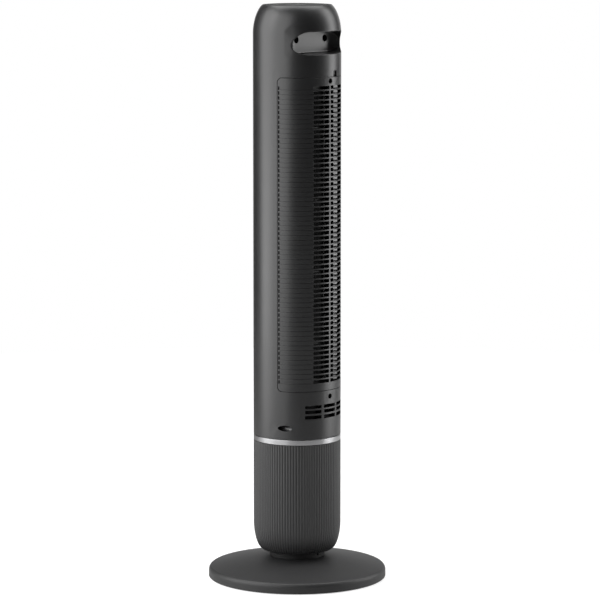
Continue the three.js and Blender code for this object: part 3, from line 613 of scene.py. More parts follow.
class Bore:
    """A screw bore from behind: its head's bore down to a seat, in a boss with a hole for the shank."""

    shank_hole_r = 2.2

    def __init__(self, x, z, radius, boss_r, seat, end, boss_x=None):
        self.x, self.z, self.radius, self.boss_r = x, z, radius, boss_r
        self.seat, self.end = seat, end
        self.boss_x = x if boss_x is None else boss_x
        self.shank = disc_loop(x, z, self.shank_hole_r, 20)

    def sink(self, skin, place, ease=0.25):
        """The bore's inner surfaces; returns the loop that it takes from the surface at its mouth."""
        loop = disc_loop(self.x, self.z, self.radius)
        mouth = disc_loop(self.x, self.z, self.radius + ease)
        corner = place(loop)
        lower = [point - Vector((0, ease, 0)) for point in corner]
        skin.sleeve(softened(place(mouth), corner, lower) + [from_behind(loop, self.seat)])
        skin.pierced(loop, [self.shank], lambda u, z: (-u, self.seat, z))
        skin.sleeve([from_behind(self.shank, self.seat), from_behind(self.shank, self.end)])
        return mouth

    def wrap(self, skin, place):
        """The boss's outside, on the casing's inner side."""
        loop = disc_loop(self.boss_x, self.z, self.boss_r)
        skin.sleeve([place(loop), from_behind(loop, self.end)])
        skin.pierced(loop, [self.shank], lambda u, z: (-u, self.end, z))
        return loop


grip_z, grip_tall, grip_wide = 937.4, 19.2, 62.4
grip_floor, grip_floor_half, grip_end_y = 30.5, 47.6, 42.6
grip_round, grip_lip, grip_taper, grip_droop = 2.6, 1.9, 23.0, 3.4
grip_back_wide, grip_back_tall, grip_floor_wall = 61.2, 21.4, 2.6
grip_least, grip_draft, bore_room = 0.2, 0.3, 9.5


def grip_line(x, sag):
    """Depth of the grip's floor: level in the middle, then rising to the casing at both ends."""
    rise = (grip_end_y - grip_floor) / (grip_wide - grip_floor_half)
    out = abs(x) - grip_floor_half
    return grip_floor - sag + rise * (out + math.hypot(out, 2.5)) / 2


def bar_loop(half_width, half_height):
    """A bar whose ends draw to a soft point, anticlockwise, each point with its way inwards."""
    middle = half_width - grip_taper
    loop = []
    for side in (1, -1):
        for t in [math.radians(angle) for angle in spaced(-90, 90, 16)]:
            x = middle + grip_taper * math.cos(t)
            z = grip_z + side * half_height * math.sin(t) - grip_droop * math.cos(t) ** 2
            loop.append((Vector((side * x, z)), -side * Vector((math.cos(t), math.sin(t)))))
        for u in spaced(middle, -middle, 30)[1:-1]:
            loop.append((Vector((side * u, grip_z + side * half_height)), Vector((0, -side))))
    return loop


def grip(skin, half_width, half_height, sag, inset, lip, bores):
    """The grip's hollow, or its outside on the casing's inner side; returns its mouth on the wall."""
    edge = bar_loop(half_width, half_height)
    loop = [tuple(spot) for spot, _ in edge]
    tops = laid(loop, inset)
    levels = [[] for _ in range(6)]
    floor_loop = []
    for (spot, inward), top in zip(edge, tops):
        height = max(grip_least, top.y - grip_line(spot.x, sag))
        round_r = min(grip_round, 0.75 * height)
        foot = top.y - height + round_r
        for level, t in zip(levels, spaced(0, 90, 5)):
            angle = math.radians(t)
            at = spot + inward * (grip_draft + round_r * (1 - math.cos(angle)))
            level.append(Vector((-at.x, foot - round_r * math.sin(angle), at.y)))
        last = levels[-1][-1]
        floor_loop.append((-last.x, last.z))
        last.y = grip_line(last.x, sag)
    mouth = [tuple(spot - inward * lip) for spot, inward in edge]
    below = [top.lerp(low, min(1.0, lip / max(lip, (top - low).length))) for top, low in zip(tops, levels[0])]
    if lip:
        skin.sleeve(softened(laid(mouth, inset), tops, below, 5) + levels)
    else:
        skin.sleeve([tops] + levels)
    floor = lambda flat: [Vector((-u, grip_line(u, sag), z)) for u, z in flat]
    holes = [bore.wrap(skin, floor) if skin.inside_out else bore.sink(skin, floor) for bore in bores]
    grid = [(u, z) for u in spaced(-56, 56, 40) for z in spaced(grip_z - 12, grip_z + 12, 6)]
    clear = [p for p in grid if all(math.dist(p, (-bore.x, bore.z)) > bore_room for bore in bores)]
    skin.pierced(floor_loop, holes, lambda u, z: (-u, grip_line(u, sag), z), clear)
    return projected(mouth, inset)


grille_low, grille_high = extent("rear_grille")
panel_gap, opening_half, opening_corner = 0.3, 75.2, 8.5
opening_low, opening_high = grille_low.z - panel_gap, grille_high.z + panel_gap
ledge_front, ledge_back = 3.6, 5.6
notch_u, notch_half, notch_top, notch_depth = way_round(10.4), 5.4, 889.5, 3.4


def with_notch(loop):
    """Lifts a short stretch of an opening's upper edge, where a blade lifts the panel out."""
    top = max(z for _, z in loop)
    bump = [(notch_u + notch_half, top), (notch_u + notch_half - 0.3, notch_top),
            (notch_u - notch_half + 0.3, notch_top), (notch_u - notch_half, top)]
    clear = [spot for spot in loop if spot[1] < top or abs(spot[0] - notch_u) > notch_half + 0.5]
    after = next(i for i, spot in enumerate(clear) if spot[1] == top and spot[0] < notch_u)
    return clear[:after] + bump + clear[after:]


def resized(loop, half, bottom, top):
    """A loop stretched about its middle to other sizes."""
    us, zs = [u for u, _ in loop], [z for _, z in loop]
    middle = (min(us) + max(us)) / 2
    widen = 2 * way_round(half) / (max(us) - min(us))
    raise_by = (top - bottom) / (max(zs) - min(zs))
    return [(middle + (u - middle) * widen, bottom + (z - min(zs)) * raise_by) for u, z in loop]


def panel_seat(skin, edge, top, ledge, back):
    """Opening that a panel is set in: its wall, the ledge behind it and that ledge's inner side."""
    straight = [(u, min(z, top)) for u, z in edge]
    ledge, back = resized(straight, *ledge), resized(straight, *back)
    levels = [(edge, notch_depth), (straight, notch_depth), (straight, ledge_front), (ledge, ledge_front),
              (ledge, ledge_back), (back, ledge_back), (back, wall)]
    skin.sleeve([[on_wall(u, z, inset) for u, z in loop] for loop, inset in levels])
    return well(skin, edge, on_wall, 0.5, notch_depth), back


def crown_rows(top, tall, steps):
    reach = math.degrees(math.asin((top - shoulder_z) / tall))
    return [z for _, z in arc((0, shoulder_z), (0, tall), 0, reach, steps)[1:]]


straight_rows = spaced(shell_low.z + 5, shoulder_z, 46)
outer_rows = [shell_low.z + rise for rise in (0, 0.07, 0.22, foot_edge)] + straight_rows
outer_rows += crown_rows(shell_high.z, shoulder_tall, 20)
inner_rows = [shell_low.z] + straight_rows + crown_rows(panel_seat_z - wall, shoulder_tall - wall, 14)


def enclosed(skin, angles, fronts, backs):
    """A casing's wall, its lining and what closes them: the top panel's rim, the foot and both edges."""
    angles = {*angles, *(side for window in fronts + backs for side in window[:2])}
    skin.inside_out = True
    _, inner = casing(skin, angles, inner_rows, backs, wall)
    skin.inside_out = False
    columns, outer = casing(skin, angles, outer_rows, fronts)

    def hoop(radius, z):
        turns = [u / column_r for u in columns]
        return [Vector((-radius * math.sin(t), radius * math.cos(t), z)) for t in turns]

    top, under = outer[-1], inner[-1]
    rim = [[on_wall(u, top) for u in columns], hoop(rim_r + rim_edge, top), hoop(rim_r + 0.1, top - 0.1)]
    rim += [hoop(rim_r, top - rim_edge), hoop(rim_r, panel_seat_z), hoop(seat_r, panel_seat_z)]
    rim.append(hoop(seat_r, under))
    rim.append([on_wall(u, under, wall) for u in columns])
    foot = [[on_wall(u, shell_low.z, inset) for u in columns] for inset in (wall, 0)]
    skin.sleeve(rim, closed=False)
    skin.sleeve(foot, closed=False)
    for place in (0, -1):
        u = columns[place]
        outline = [on_wall(u, z) for z in outer] + [row[place] for row in rim[1:-1]]
        outline += [on_wall(u, z, wall) for z in inner[::-1]]
        skin.face(skin.ring(outline if place == 0 else outline[::-1]))


grip_x, _, grip_screw_z = middle_of("handle_screw_left")
flank_x, _, flank_z = middle_of("side_screw_left")
low_z = middle_of("rear_screw_low").z
grip_bores = [Bore(side * grip_x, grip_screw_z, 6.0, 8.0, seat=22.0, end=19.0) for side in (1, -1)]
flank_bores = [Bore(side * flank_x, flank_z, 5.25, 6.8, seat=14.0, end=8.0, boss_x=side * 66.0)
               for side in (1, -1)]
low_bore = Bore(0.0, low_z, 4.5, 6.3, seat=66.5, end=60.0)
vent_rows = [(290.6, 296.9), (300.2, 306.1), (308.9, 314.6)]
vent_columns = [(-38.1, -14.8), (-10.9, 10.9), (14.8, 38.1)]
vents = [wall_loop(left, right, bottom, top, 1.0, 10, 3)
         for bottom, top in vent_rows for left, right in vent_columns]
opening_edge = with_notch(wall_loop(
    -opening_half, opening_half, opening_low, opening_high, opening_corner, 50, 110, 8))
rear_angles = [-rear_half, *range(-138, 139, 2), rear_half]

shell = Skin()
seat_mouth, seat_back = panel_seat(
    shell, opening_edge, opening_high, ledge=(71.7, opening_low + 6, opening_high - 7),
    back=(77.0, opening_low - 2.2, opening_high + 3))
grip_mouth = grip(shell, grip_wide, grip_tall, sag=0.0, inset=0.0, lip=grip_lip, bores=grip_bores)
flank_mouths = [projected(bore.sink(shell, laid)) for bore in flank_bores]
low_mouth = projected(low_bore.sink(shell, laid))
vent_mouths = [well(shell, vent, on_wall, 0.4, wall) for vent in vents]
shell.inside_out = True
grip_back = grip(shell, grip_back_wide, grip_back_tall, sag=grip_floor_wall, inset=wall, lip=0.0,
                 bores=grip_bores)
lining = lambda loop: laid(loop, wall)
flank_backs = [projected(bore.wrap(shell, lining), wall) for bore in flank_bores]
low_back = projected(low_bore.wrap(shell, lining), wall)


def rear_windows(flanks, low, vent_loops, seat, grip_loop):
    """Patches of the rear shell's wall that holes pass through."""
    return [
        (-88, -48, 264.0, 286.0, [flanks[0]]),
        (48, 88, 264.0, 286.0, [flanks[1]]),
        (-44, 44, 287.0, 335.0, [low, *vent_loops]),
        (-80, 80, 335.0, 894.0, [seat]),
        (-64, 64, 912.0, 968.0, [grip_loop]),
    ]


backs = rear_windows(flank_backs, low_back, vents, seat_back, grip_back)
fronts = rear_windows(flank_mouths, low_mouth, vent_mouths, seat_mouth, grip_mouth)
enclosed(shell, rear_angles, fronts, backs)
satin_charcoal = moulded("satin_charcoal", grey(0.007, (1, 1.0, 1.05)), grey(0.010, (1, 1.0, 1.03)), 0.36)
# Painted shade: a near-black finish for the hollows and inner sides of the casing, which stand in shade
# inside the fan.
recess_shade_black, shade_depth = moulded("recess_shade_black", grey(0.003), grey(0.005), 0.5, 0.3), 0.5


def shade_recesses(piece, low, high):
    """Paints shade: a near-black finish on faces more than half a millimetre below the wall's face, such as
    bore, vent and slot walls and the lining, between two heights.
    """
    piece.data.materials.append(recess_shade_black)
    for face in piece.data.polygons:
        x, y, z = face.center * 1000
        if low < z < high and math.hypot(x, y) < wall_radius(z) - shade_depth:
            face.material_index = 1


rear_casing = fit(shell.piece("rear_casing"), satin_charcoal, "column", "charcoal", "rear_shell")
# Painted shade on the rear casing's bores, vents, panel seat and lining.
shade_recesses(rear_casing, low=288.0, high=905.0)

# ---------------------------------------------------------------- inlet panel
# Separate louvred panel, pressed into the rear shell's opening and held by one screw at the top. Open
# slots lie each side of a middle rib and reach further round on one; beyond them the louvres are blind,
# parted by fine grooves, and a short slot ends each row.

slot_count, first_slot, last_slot, slot_height = 62, 352.7, 864.6, 5.9
panel_wall, panel_half, panel_play = 2.4, 74.65, 0.35
rib_edge, open_edge = {-1: 2.1, 1: 0.6}, {-1: 27.0, 1: 46.0}
blind_gap, blind_edge, end_slot = 1.1, 71.1, (71.9, 73.6)
louvre_section = [(0, 0), (0.12, 0.35), (0.5, 0.4), (0.75, 0.06), (5.2, 0.02), (5.75, 0)]
panel_bore = Bore(0.0, 872.5, 4.6, 6.1, seat=68.0, end=66.0)


def rim_of(skin, loop, place, ease, depth):
    """Eased outer edge and side wall of a panel; returns the loop where its face begins."""
    face = grown(loop, -ease)
    outer = [place(u, v, 0) for u, v in face]
    corner, side, back = [[place(u, v, down) for u, v in loop] for down in (0, ease, depth)]
    skin.inside_out = not skin.inside_out
    skin.sleeve(softened(outer, corner, side) + [back])
    skin.inside_out = not skin.inside_out
    return face


def slab(skin, edge, place, ease, depth, gaps=(), gap_ease=0.0, mouths=(), backs=()):
    """A panel with an eased rim and through gaps; mouths and backs are what other holes take from it."""
    face = rim_of(skin, edge, place, ease, depth)
    wells = [well(skin, gap, place, gap_ease, depth) for gap in gaps]
    skin.pierced(face, [*mouths, *wells], place)
    skin.inside_out = True
    skin.pierced(edge, [*gaps, *backs], lambda u, v: place(u, v, depth))
    skin.inside_out = False


def blind_louvre(skin, left, right, z):
    """A groove with a nearly flush strip over it; returns the loop that they take from the face."""
    across = spaced(left, right, 24)
    rows = [skin.ring([on_wall(u, z + up, down) for u in across]) for up, down in louvre_section]
    for a, b in zip(rows, rows[1:]):
        skin.strip(a, b, closed=False)
    skin.face([row[0] for row in rows])
    skin.face([row[-1] for row in rows][::-1])
    top = z + louvre_section[-1][0]
    return [(u, z) for u in across] + [(u, top) for u in across[::-1]]


panel = Skin()
panel_edge = wall_loop(
    -panel_half, panel_half, grille_low.z + panel_play, grille_high.z - panel_play, opening_corner - 0.3,
    50, 110, 8)
through, taken = [], []
for z in spaced(first_slot, last_slot - slot_height, slot_count - 1):
    for side in (-1, 1):
        for near, far, steps in ((rib_edge[side], open_edge[side], 22), (*end_slot, 2)):
            ends = sorted((side * near, side * far))
            through.append(wall_loop(*ends, z, z + slot_height, 0.7, steps, 2, 3))
        ends = sorted(way_round(side * angle) for angle in (open_edge[side] + blind_gap, blind_edge))
        taken.append(blind_louvre(panel, *ends, z))
taken.append(projected(panel_bore.sink(panel, laid)))
panel.inside_out = True
bore_back = projected(panel_bore.wrap(panel, lambda loop: laid(loop, panel_wall)), panel_wall)
panel.inside_out = False
slab(panel, panel_edge, on_wall, 0.5, panel_wall, through, 0.4, taken, [bore_back])
inlet_panel = fit(panel.piece("inlet_panel"), satin_charcoal, "column", "charcoal", "rear_grille")
# Painted shade on the inlet panel's slot walls, bore and back.
shade_recesses(inlet_panel, low=0.0, high=1000.0)

# ---------------------------------------------------------------- front cover
# Front strip of the casing, in the same satin charcoal. It frames the air outlet, and two long bosses
# behind it take the screws that come through the hand grip.

front_low, front_high = extent("front_grille")
outlet_half, outlet_corner = 27.0, 12.0
outlet_low, outlet_high = front_low.z - panel_gap, front_high.z + panel_gap
boss_r, boss_end, pilot_r = 5.0, 18.7, 1.8
front_angles = [140.2, *range(142, 219, 2), 219.8]
outlet_edge = wall_loop(
    180 - outlet_half, 180 + outlet_half, outlet_low, outlet_high, outlet_corner, 24, 120, 8)

cover = Skin()
outlet_mouth, outlet_back = panel_seat(
    cover, outlet_edge, outlet_high, ledge=(outlet_half - 2.5, outlet_low + 6, outlet_high - 6),
    back=(outlet_half + 1.8, outlet_low - 2.2, outlet_high + 2.2))
boss_backs = []
for side in (-1, 1):
    rim = disc_loop(side * grip_x, grip_screw_z, boss_r)
    pilot = disc_loop(side * grip_x, grip_screw_z, pilot_r, 16)
    root = [((math.pi + math.asin(-u / (column_r - wall))) * column_r, z) for u, z in rim]
    cover.sleeve([from_behind(rim, boss_end), [on_wall(u, z, wall) for u, z in root]])
    cover.pierced(rim, [pilot], lambda u, z: (-u, boss_end, z))
    cover.sleeve([from_behind(pilot, boss_end), from_behind(pilot, 0.0)])
    cover.pierced(pilot, [], lambda u, z: (-u, 0.0, z))
    boss_backs.append(root[::-1])


def front_windows(seat, bosses):
    """Patches of the front cover's wall that the outlet and the bosses pass through."""
    patches = [(*ends, 934.0, 951.0, [loop]) for ends, loop in zip([(144, 156), (204, 216)], bosses)]
    return [(149, 211, outlet_low - 6, outlet_high + 6, [seat]), *patches]


enclosed(cover, front_angles, front_windows(outlet_mouth, []), front_windows(outlet_back, boss_backs))
fit(cover.piece("front_casing"), satin_charcoal, "column", "charcoal", "front_cover")

# ---------------------------------------------------------------- outlet grille
# Upright bars that guard the air outlet, moulded in black plastic in one with their frame and a cross
# bar that ties them. The frame is set into the front cover's opening.

bar_columns, bar_rows, bar_half_width, bar_tie, gap_corner = 9, 2, 0.9, 1.5, 1.6
guard_side, guard_end = 3.5, 8.0
guard_wall, guard_sink, guard_play = 2.2, 0.2, 0.25
guard = Skin()
guard_place = lambda u, z, inset=0.0: on_wall(u, z, inset + guard_sink)
guard_edge = wall_loop(
    180 - outlet_half + guard_play, 180 + outlet_half - guard_play, front_low.z, front_high.z,
    outlet_corner - 0.2, 24, 120, 8)
gaps = []
uprights = spaced(180 - outlet_half + guard_side, 180 + outlet_half - guard_side, bar_columns)
levels = spaced(outlet_low + guard_end, outlet_high - guard_end, bar_rows)
for left, right in zip(uprights, uprights[1:]):
    for bottom, top in zip(levels, levels[1:]):
        ends = left + bar_half_width, right - bar_half_width
        gaps.append(wall_loop(*ends, bottom + bar_tie, top - bar_tie, gap_corner, 2, 60, 5))
slab(guard, guard_edge, guard_place, 0.5, guard_wall, gaps, 0.6)
black_plastic = moulded("black_plastic", grey(0.008), grey(0.012), 0.42)
fit(guard.piece("outlet_guard"), black_plastic, "column", "black_plastic", "front_grille")

# ---------------------------------------------------------------- top panel
# Round cap in black plastic that drops into the casing's rim. Five key holes follow its front edge,
# a shallow recess holds the display window, and three posts below locate the control board.

cap_low, cap_high = extent("top_panel")
pane_low, pane_high = extent("display_window")
cap_r, cap_under, cap_post_ring, cap_post_r = cap_high.x, panel_seat_z + 0.3, 30.0, 3.0
key_r, key_play, window_play, window_deep = 5.0, 0.3, 0.3, 1.2
keys = ["button_timer", "button_mode", "button_power", "button_speed", "button_swing"]
key_spots = [middle_of(key) for key in keys]


def on_cap(x, y, down=0.0):
    return Vector((x, y, cap_high.z - down))


cap = Skin()
cap_edge = ring_loop(0, 0, cap_r, 160)
window_loop = patch_loop(
    pane_low.x - window_play, pane_high.x + window_play, pane_low.y - window_play, pane_high.y + window_play,
    1.5, 8, 4)
key_holes = [ring_loop(spot.x, spot.y, key_r + key_play, 48) for spot in key_spots]
window_mouth = well(cap, window_loop, on_cap, 0.3, window_deep)
cap.pierced(window_loop, [], lambda x, y: on_cap(x, y, window_deep))
posts = [ring_loop(*spot, cap_post_r, 24) for spot in three_round(cap_post_ring)]
slab(cap, cap_edge, on_cap, 0.45, cap_high.z - cap_under, key_holes, 0.4, [window_mouth], posts)
cap.inside_out = True
for post in posts:
    cap.sleeve([[Vector((x, y, z)) for x, y in post] for z in (cap_under, cap_low.z)])
    cap.pierced(post, [], lambda x, y: (x, y, cap_low.z))
panel_black = moulded("panel_black", grey(0.006), grey(0.009), 0.66, 0.24)
fit(cap.piece("top_cap"), panel_black, "column", "black_plastic", "top_panel")

# ---------------------------------------------------------------- display window
# Smoked acrylic pane with round corners and an eased edge. It is glued into the cap's recess, over the
# unlit display.

pane = Skin()
pane_edge = patch_loop(pane_low.x, pane_high.x, pane_low.y, pane_high.y, 1.2, 8, 4)
pane_place = lambda x, y, down=0.0: Vector((x, y, pane_high.z - down))
slab(pane, pane_edge, pane_place, 0.25, pane_high.z - pane_low.z)


def smoked_acrylic(name):
    """Dark acrylic with a faint haze and a few fine wipe marks in its sheen."""
    finish = Finish(name, {"Specular IOR Level": 0.3})
    wipes = finish.noise(1.0, 3.0, 0.6, finish.node("Mapping", None, {
        "Vector": finish.place(), "Scale": (900, 60, 60), "Rotation": (0, 0, 0.5)}))
    return finish.done({
        "Roughness": 0.42 + wipes * 0.08,
        "Base Color": finish.blend(wipes, grey(0.004), grey(0.007)),
    })


fit(pane.piece("display_pane"), smoked_acrylic("smoked_acrylic"), "column", "smoked", "display_window")

# ---------------------------------------------------------------- keys
# Five push keys in satin charcoal. Each has a dished face, an eased rim, a flange that stops it under
# the cap, and a stem over its switch.

stem_r, flange_r, flange_thick, key_edge, dish_r, dish_deep = 1.5, key_r + 1.3, 1.9, 0.5, 18.35, 0.35
flange_top = cap_under - key_play
flange_low = flange_top - flange_thick
for key, spot in zip(keys, key_spots):
    low, high = extent(key)
    dish = arc((0, high.z + dish_r - dish_deep), (dish_r, dish_r), -90, -77, 8)
    brow = arc((key_r - key_edge, high.z - key_edge), (key_edge, key_edge), 30, 90, 3)
    outline = [(0, low.z), (stem_r, low.z), (stem_r, flange_low), (flange_r, flange_low),
               (flange_r, flange_top), (key_r, flange_top), (key_r, high.z - key_edge), *brow, *dish[::-1]]
    made = turned(outline, 64, (spot.x, spot.y)).piece(key.replace("button", "key"))
    fit(made, satin_charcoal, key.replace("button_", "") + "_key", "charcoal", key)

# ---------------------------------------------------------------- blower wheel
# Cross-flow wheel in black plastic: a drum of forward-curved blades, welded up from eight bays between
# thin rings. It is seen through the open slots. A tall rim on its upper disc closes the gap under the
# head plate.

wheel_low, wheel_high = extent("blower_wheel")
wheel_r, blade_depth, blades, bays = 46.0, 9.0, 34, 8
blade_root, blade_sweep, blade_hook = wheel_r - 0.6 - blade_depth, math.radians(11), 1.7
bay_inner, ring_thick, rim_tall, rim_wall = blade_root - 1.5, 2.4, 16.0, 2.0
shaft_r, axle_r, shaft_hub_r, axle_hub_r, hub_tall = 4.3, 3.3, 10.0, 8.0, 12.0


def blade_section(turn):
    """A curved blade with round edges, thickest in its middle, as an anticlockwise outline."""
    sides = [[], []]
    for share in spaced(0, 1, 10):
        reach = blade_root + blade_depth * share
        bend = turn + blade_sweep * share ** blade_hook
        half = (0.3 + 0.55 * math.sin(math.pi * share)) / reach
        for side, offset in zip(sides, (-half, half)):
            side.append((reach * math.cos(bend + offset), reach * math.sin(bend + offset)))
    return sides[0] + sides[1][::-1]


def gathered(skins):
    """Several surfaces as one."""
    whole = Skin()
    for part in skins:
        first = len(whole.points)
        whole.points += part.points
        whole.faces += [[first + corner for corner in face] for face in part.faces]
    return whole


drum = gathered([
    prism(blade_section(2 * math.pi * i / blades), wheel_low.z + 1, wheel_high.z - 1) for i in range(blades)
])
ring_sections = []
for i, z in enumerate(spaced(wheel_low.z, wheel_high.z - ring_thick, bays)):
    top = z + ring_thick
    if i == 0:
        section = [(shaft_r, z), (wheel_r, z, 0.6), (wheel_r, top, 0.6), (shaft_hub_r, top),
                   (shaft_hub_r, z + hub_tall, 0.8), (shaft_r, z + hub_tall)]
    elif i == bays:
        inner_wall, crest_z = wheel_r - rim_wall, top + rim_tall
        section = [(axle_r, top - hub_tall), (axle_hub_r, top - hub_tall, 0.8), (axle_hub_r, z),
                   (wheel_r, z, 0.6), (wheel_r, crest_z, 0.6), (inner_wall, crest_z, 0.6), (inner_wall, top),
                   (axle_r, top)]
    else:
        section = [(bay_inner, z, 0.5), (wheel_r, z, 0.6), (wheel_r, top, 0.6), (bay_inner, top, 0.5)]
    ring_sections.append(turned(eased(section), 136))
wheel = combined(gathered(ring_sections).piece("cross_flow_wheel"), "UNION", drum.piece("blades"))
# Painted shade: the wheel's black is darker than the other black plastic, for the shade it stands in deep
# inside the casing.
wheel_shade_black = moulded("wheel_shade_black", grey(0.003), grey(0.004), 0.5, 0.3)
fit(wheel, wheel_shade_black, "blower", "black_plastic", "blower_wheel")

# ---------------------------------------------------------------- scroll and tongue
# Two upright walls, moulded in black plastic, lead the air round the wheel. The scroll is glossy and
# starts at a flat lip beside the inlet, and the tongue parts the outlet from the wheel.

duct_low, duct_high = extent("volute_wall")
lip_outline = [(-23.4, 62.5), (-33.4, 62.5), (-34.2, 61.7), (-34.0, 59.0), (-32.4, 50.5), (-30.2, 50.0),
               (-27.5, 57.5), (-23.9, 60.6)]
scroll_places = [(63.5, 28.5), (59, 32), (51, 48), (50, 70), (51.5, 95), (55, 120), (62, 140), (68.5, 154)]
tongue_places = [(68.5, -27), (61, -36), (57, -60), (55.5, -90), (53, -115), (49.5, -134), (54, -143),
                 (62, -149), (68.5, -154)]


def polar(radius, bearing):
    angle = math.radians(bearing)
    return Vector((-radius * math.sin(angle), radius * math.cos(angle)))


def through_points(knots, steps=8):
    """A smooth line through every knot."""
    knots = [2 * knots[0] - knots[1], *knots, 2 * knots[-1] - knots[-2]]
    line = []
    for a, b, c, d in zip(knots, knots[1:], knots[2:], knots[3:]):
        for t in spaced(0, 1, steps)[:-1]:
            square, cube = 2 * a - 5 * b + 4 * c - d, 3 * b - a - 3 * c + d
            line.append((2 * b + (c - a) * t + square * t ** 2 + cube * t ** 3) / 2)
    return line + [knots[-2]]


def duct_wall(places, half=1.2):
    """An upright wall along a smooth line, with round edges."""
    line = through_points([polar(*place) for place in places])
    left, right = [], []
    for before, here, after in zip(line[:1] + line, line, line[1:] + line[-1:]):
        along = (after - before).normalized()
        left.append(here + Vector((-along.y, along.x)) * half)
        right.append(here + Vector((along.y, -along.x)) * half)
    ends = []
    for tip, back in ((line[-1], line[-2]), (line[0], line[1])):
        out = (tip - back).normalized()
        side = Vector((-out.y, out.x))
        ends.append([tip + (out * math.sin(t) - side * math.cos(t)) * half
                     for t in map(math.radians, (30, 60, 90, 120, 150))])
    outline = right + ends[0] + left[::-1] + ends[1]
    return prism([tuple(point) for point in outline], duct_low.z, duct_high.z)


lip = prism(lip_outline, duct_low.z, duct_high.z)
scroll = combined(duct_wall(scroll_places).piece("scroll_wall"), "UNION", lip.piece("lip"))
gloss_black = moulded("gloss_black", grey(0.006), grey(0.009), 0.24)
fit(scroll, gloss_black, "column", "black_plastic", "volute_wall")
fit(duct_wall(tongue_places).piece("tongue_wall"), black_plastic, "column", "black_plastic", "vortex_tongue")

# ---------------------------------------------------------------- screws
# Pan-head screws with a cross recess and a rolled thread, driven from below, from above or from behind.
# Those behind are blackened, the rest bright zinc.

head_height, head_r, shank_r, pitch, thread_deep = 2.2, 3.3, 1.6, 0.9, 0.35


def pan_screw(length):
    """A screw that points down, the underside of its head at zero."""
    tip, neck = 1.0, 1.2
    thread = [(0, -length), (0.4, -length + 0.1)]
    for z in spaced(tip - length, -neck, max(2, round((length - tip - neck) / pitch)) * 2):
        crest = len(thread) % 2
        thread.append((shank_r if crest else shank_r - thread_deep, z))
    head = [(shank_r - 0.1, -0.2), (shank_r + 0.1, 0), (head_r - 0.1, 0), (head_r, 0.4)]
    crown = arc((0, 0.4), (head_r, head_height - 0.45), 8, 90, 8)
    return turned(thread + head + crown, 40)


def cross_recess(size=1.75, depth=1.3):
    """Tapered cross, to cut from a head."""
    arms = []
    for turn in (0, math.pi / 2):
        low, high = [[(x * size * grow, y * 0.42 * grow) for x, y in ((-1, -1), (1, -1), (1, 1), (-1, 1))]
                     for grow in (0.45, 1.25)]
        arm = Skin()
        bottom, over = head_height - depth, head_height + 0.4
        arm.sleeve([[(x, y, z) for x, y in loop] for loop, z in ((low, bottom), (high, over))])
        arm.pierced(high, [], lambda x, y: (x, y, over))
        arm.inside_out = True
        arm.pierced(low, [], lambda x, y: (x, y, bottom))
        arms.append(arm.moved(Matrix.Rotation(turn, 4, "Z")).piece("arm"))
    return arms


zinc = satin_metal("zinc_plate", (0.52, 0.53, 0.54, 1.0), 0.34)
black_zinc = satin_metal("black_zinc", (0.02, 0.02, 0.021, 1.0), 0.45)
down, up = Matrix.Identity(4), Matrix.Rotation(math.pi, 4, "X")
screws = [(f"base_screw_{i}", "base", up) for i in (1, 2, 3)]
screws += [(f"swivel_screw_{i}", "column", down) for i in (1, 2, 3)]
screws += [(name, "column", to_back) for name in (
    "grille_screw", "rear_screw_low", "handle_screw_left", "handle_screw_right", "side_screw_left",
    "side_screw_right")]
for name, body, aim in screws:
    low, high = extent(name)
    point_way = (aim @ Vector((0, 0, -1))).to_3d()
    whole = abs((high - low).dot(point_way))
    centre = middle_of(name) - point_way * (whole / 2 - head_height)
    screw = pan_screw(whole - head_height).piece(name.replace("screw", "fixing"))
    combined(screw, "DIFFERENCE", *cross_recess())
    screw.data.transform(Matrix.Translation(centre * 0.001) @ aim)
    fit(screw, black_zinc if aim is to_back else zinc, body, "zinc", name)

# ---------------------------------------------------------------- inner works
# Motors, shafts, bushes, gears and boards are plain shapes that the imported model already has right.
# Each gets its own finish; they show through the slots, the vents and from below.


def nylon_finish(name):
    """Natural nylon: waxy and a little translucent, with faint flow marks."""
    finish = Finish(name, {"Subsurface Weight": 0.1, "Subsurface Radius": (0.002, 0.002, 0.0015)})
    flow = finish.noise(90, 3.0, 0.5)
    return finish.done({
        "Base Color": finish.blend(flow, (0.62, 0.60, 0.53, 1), (0.55, 0.53, 0.46, 1)),
        "Roughness": 0.4 + flow * 0.12,
    })


def circuit_board(name):
    """Green solder mask over copper tracks, which show as slightly raised paler lines."""
    finish = Finish(name, {"Specular IOR Level": 0.5})
    where = {"Vector": finish.place(), "Scale": 160.0}
    cells = finish.node("TexVoronoi", {"feature": "DISTANCE_TO_EDGE"}, where)
    tracks = finish.node("ValToRGB", {"stops": [(0.03, (1, 1, 1, 1)), (0.06, (0, 0, 0, 1))]}, {"Fac": cells})
    return finish.done({
        "Base Color": finish.blend(tracks, (0.012, 0.075, 0.03, 1), (0.03, 0.15, 0.06, 1)),
        "Roughness": 0.4 + finish.noise(300) * 0.1,
        "Normal": finish.bump(tracks, 0.00005, 0.5),
    })


steel = satin_metal("bright_steel", (0.56, 0.57, 0.58, 1.0), 0.3, 0.3)
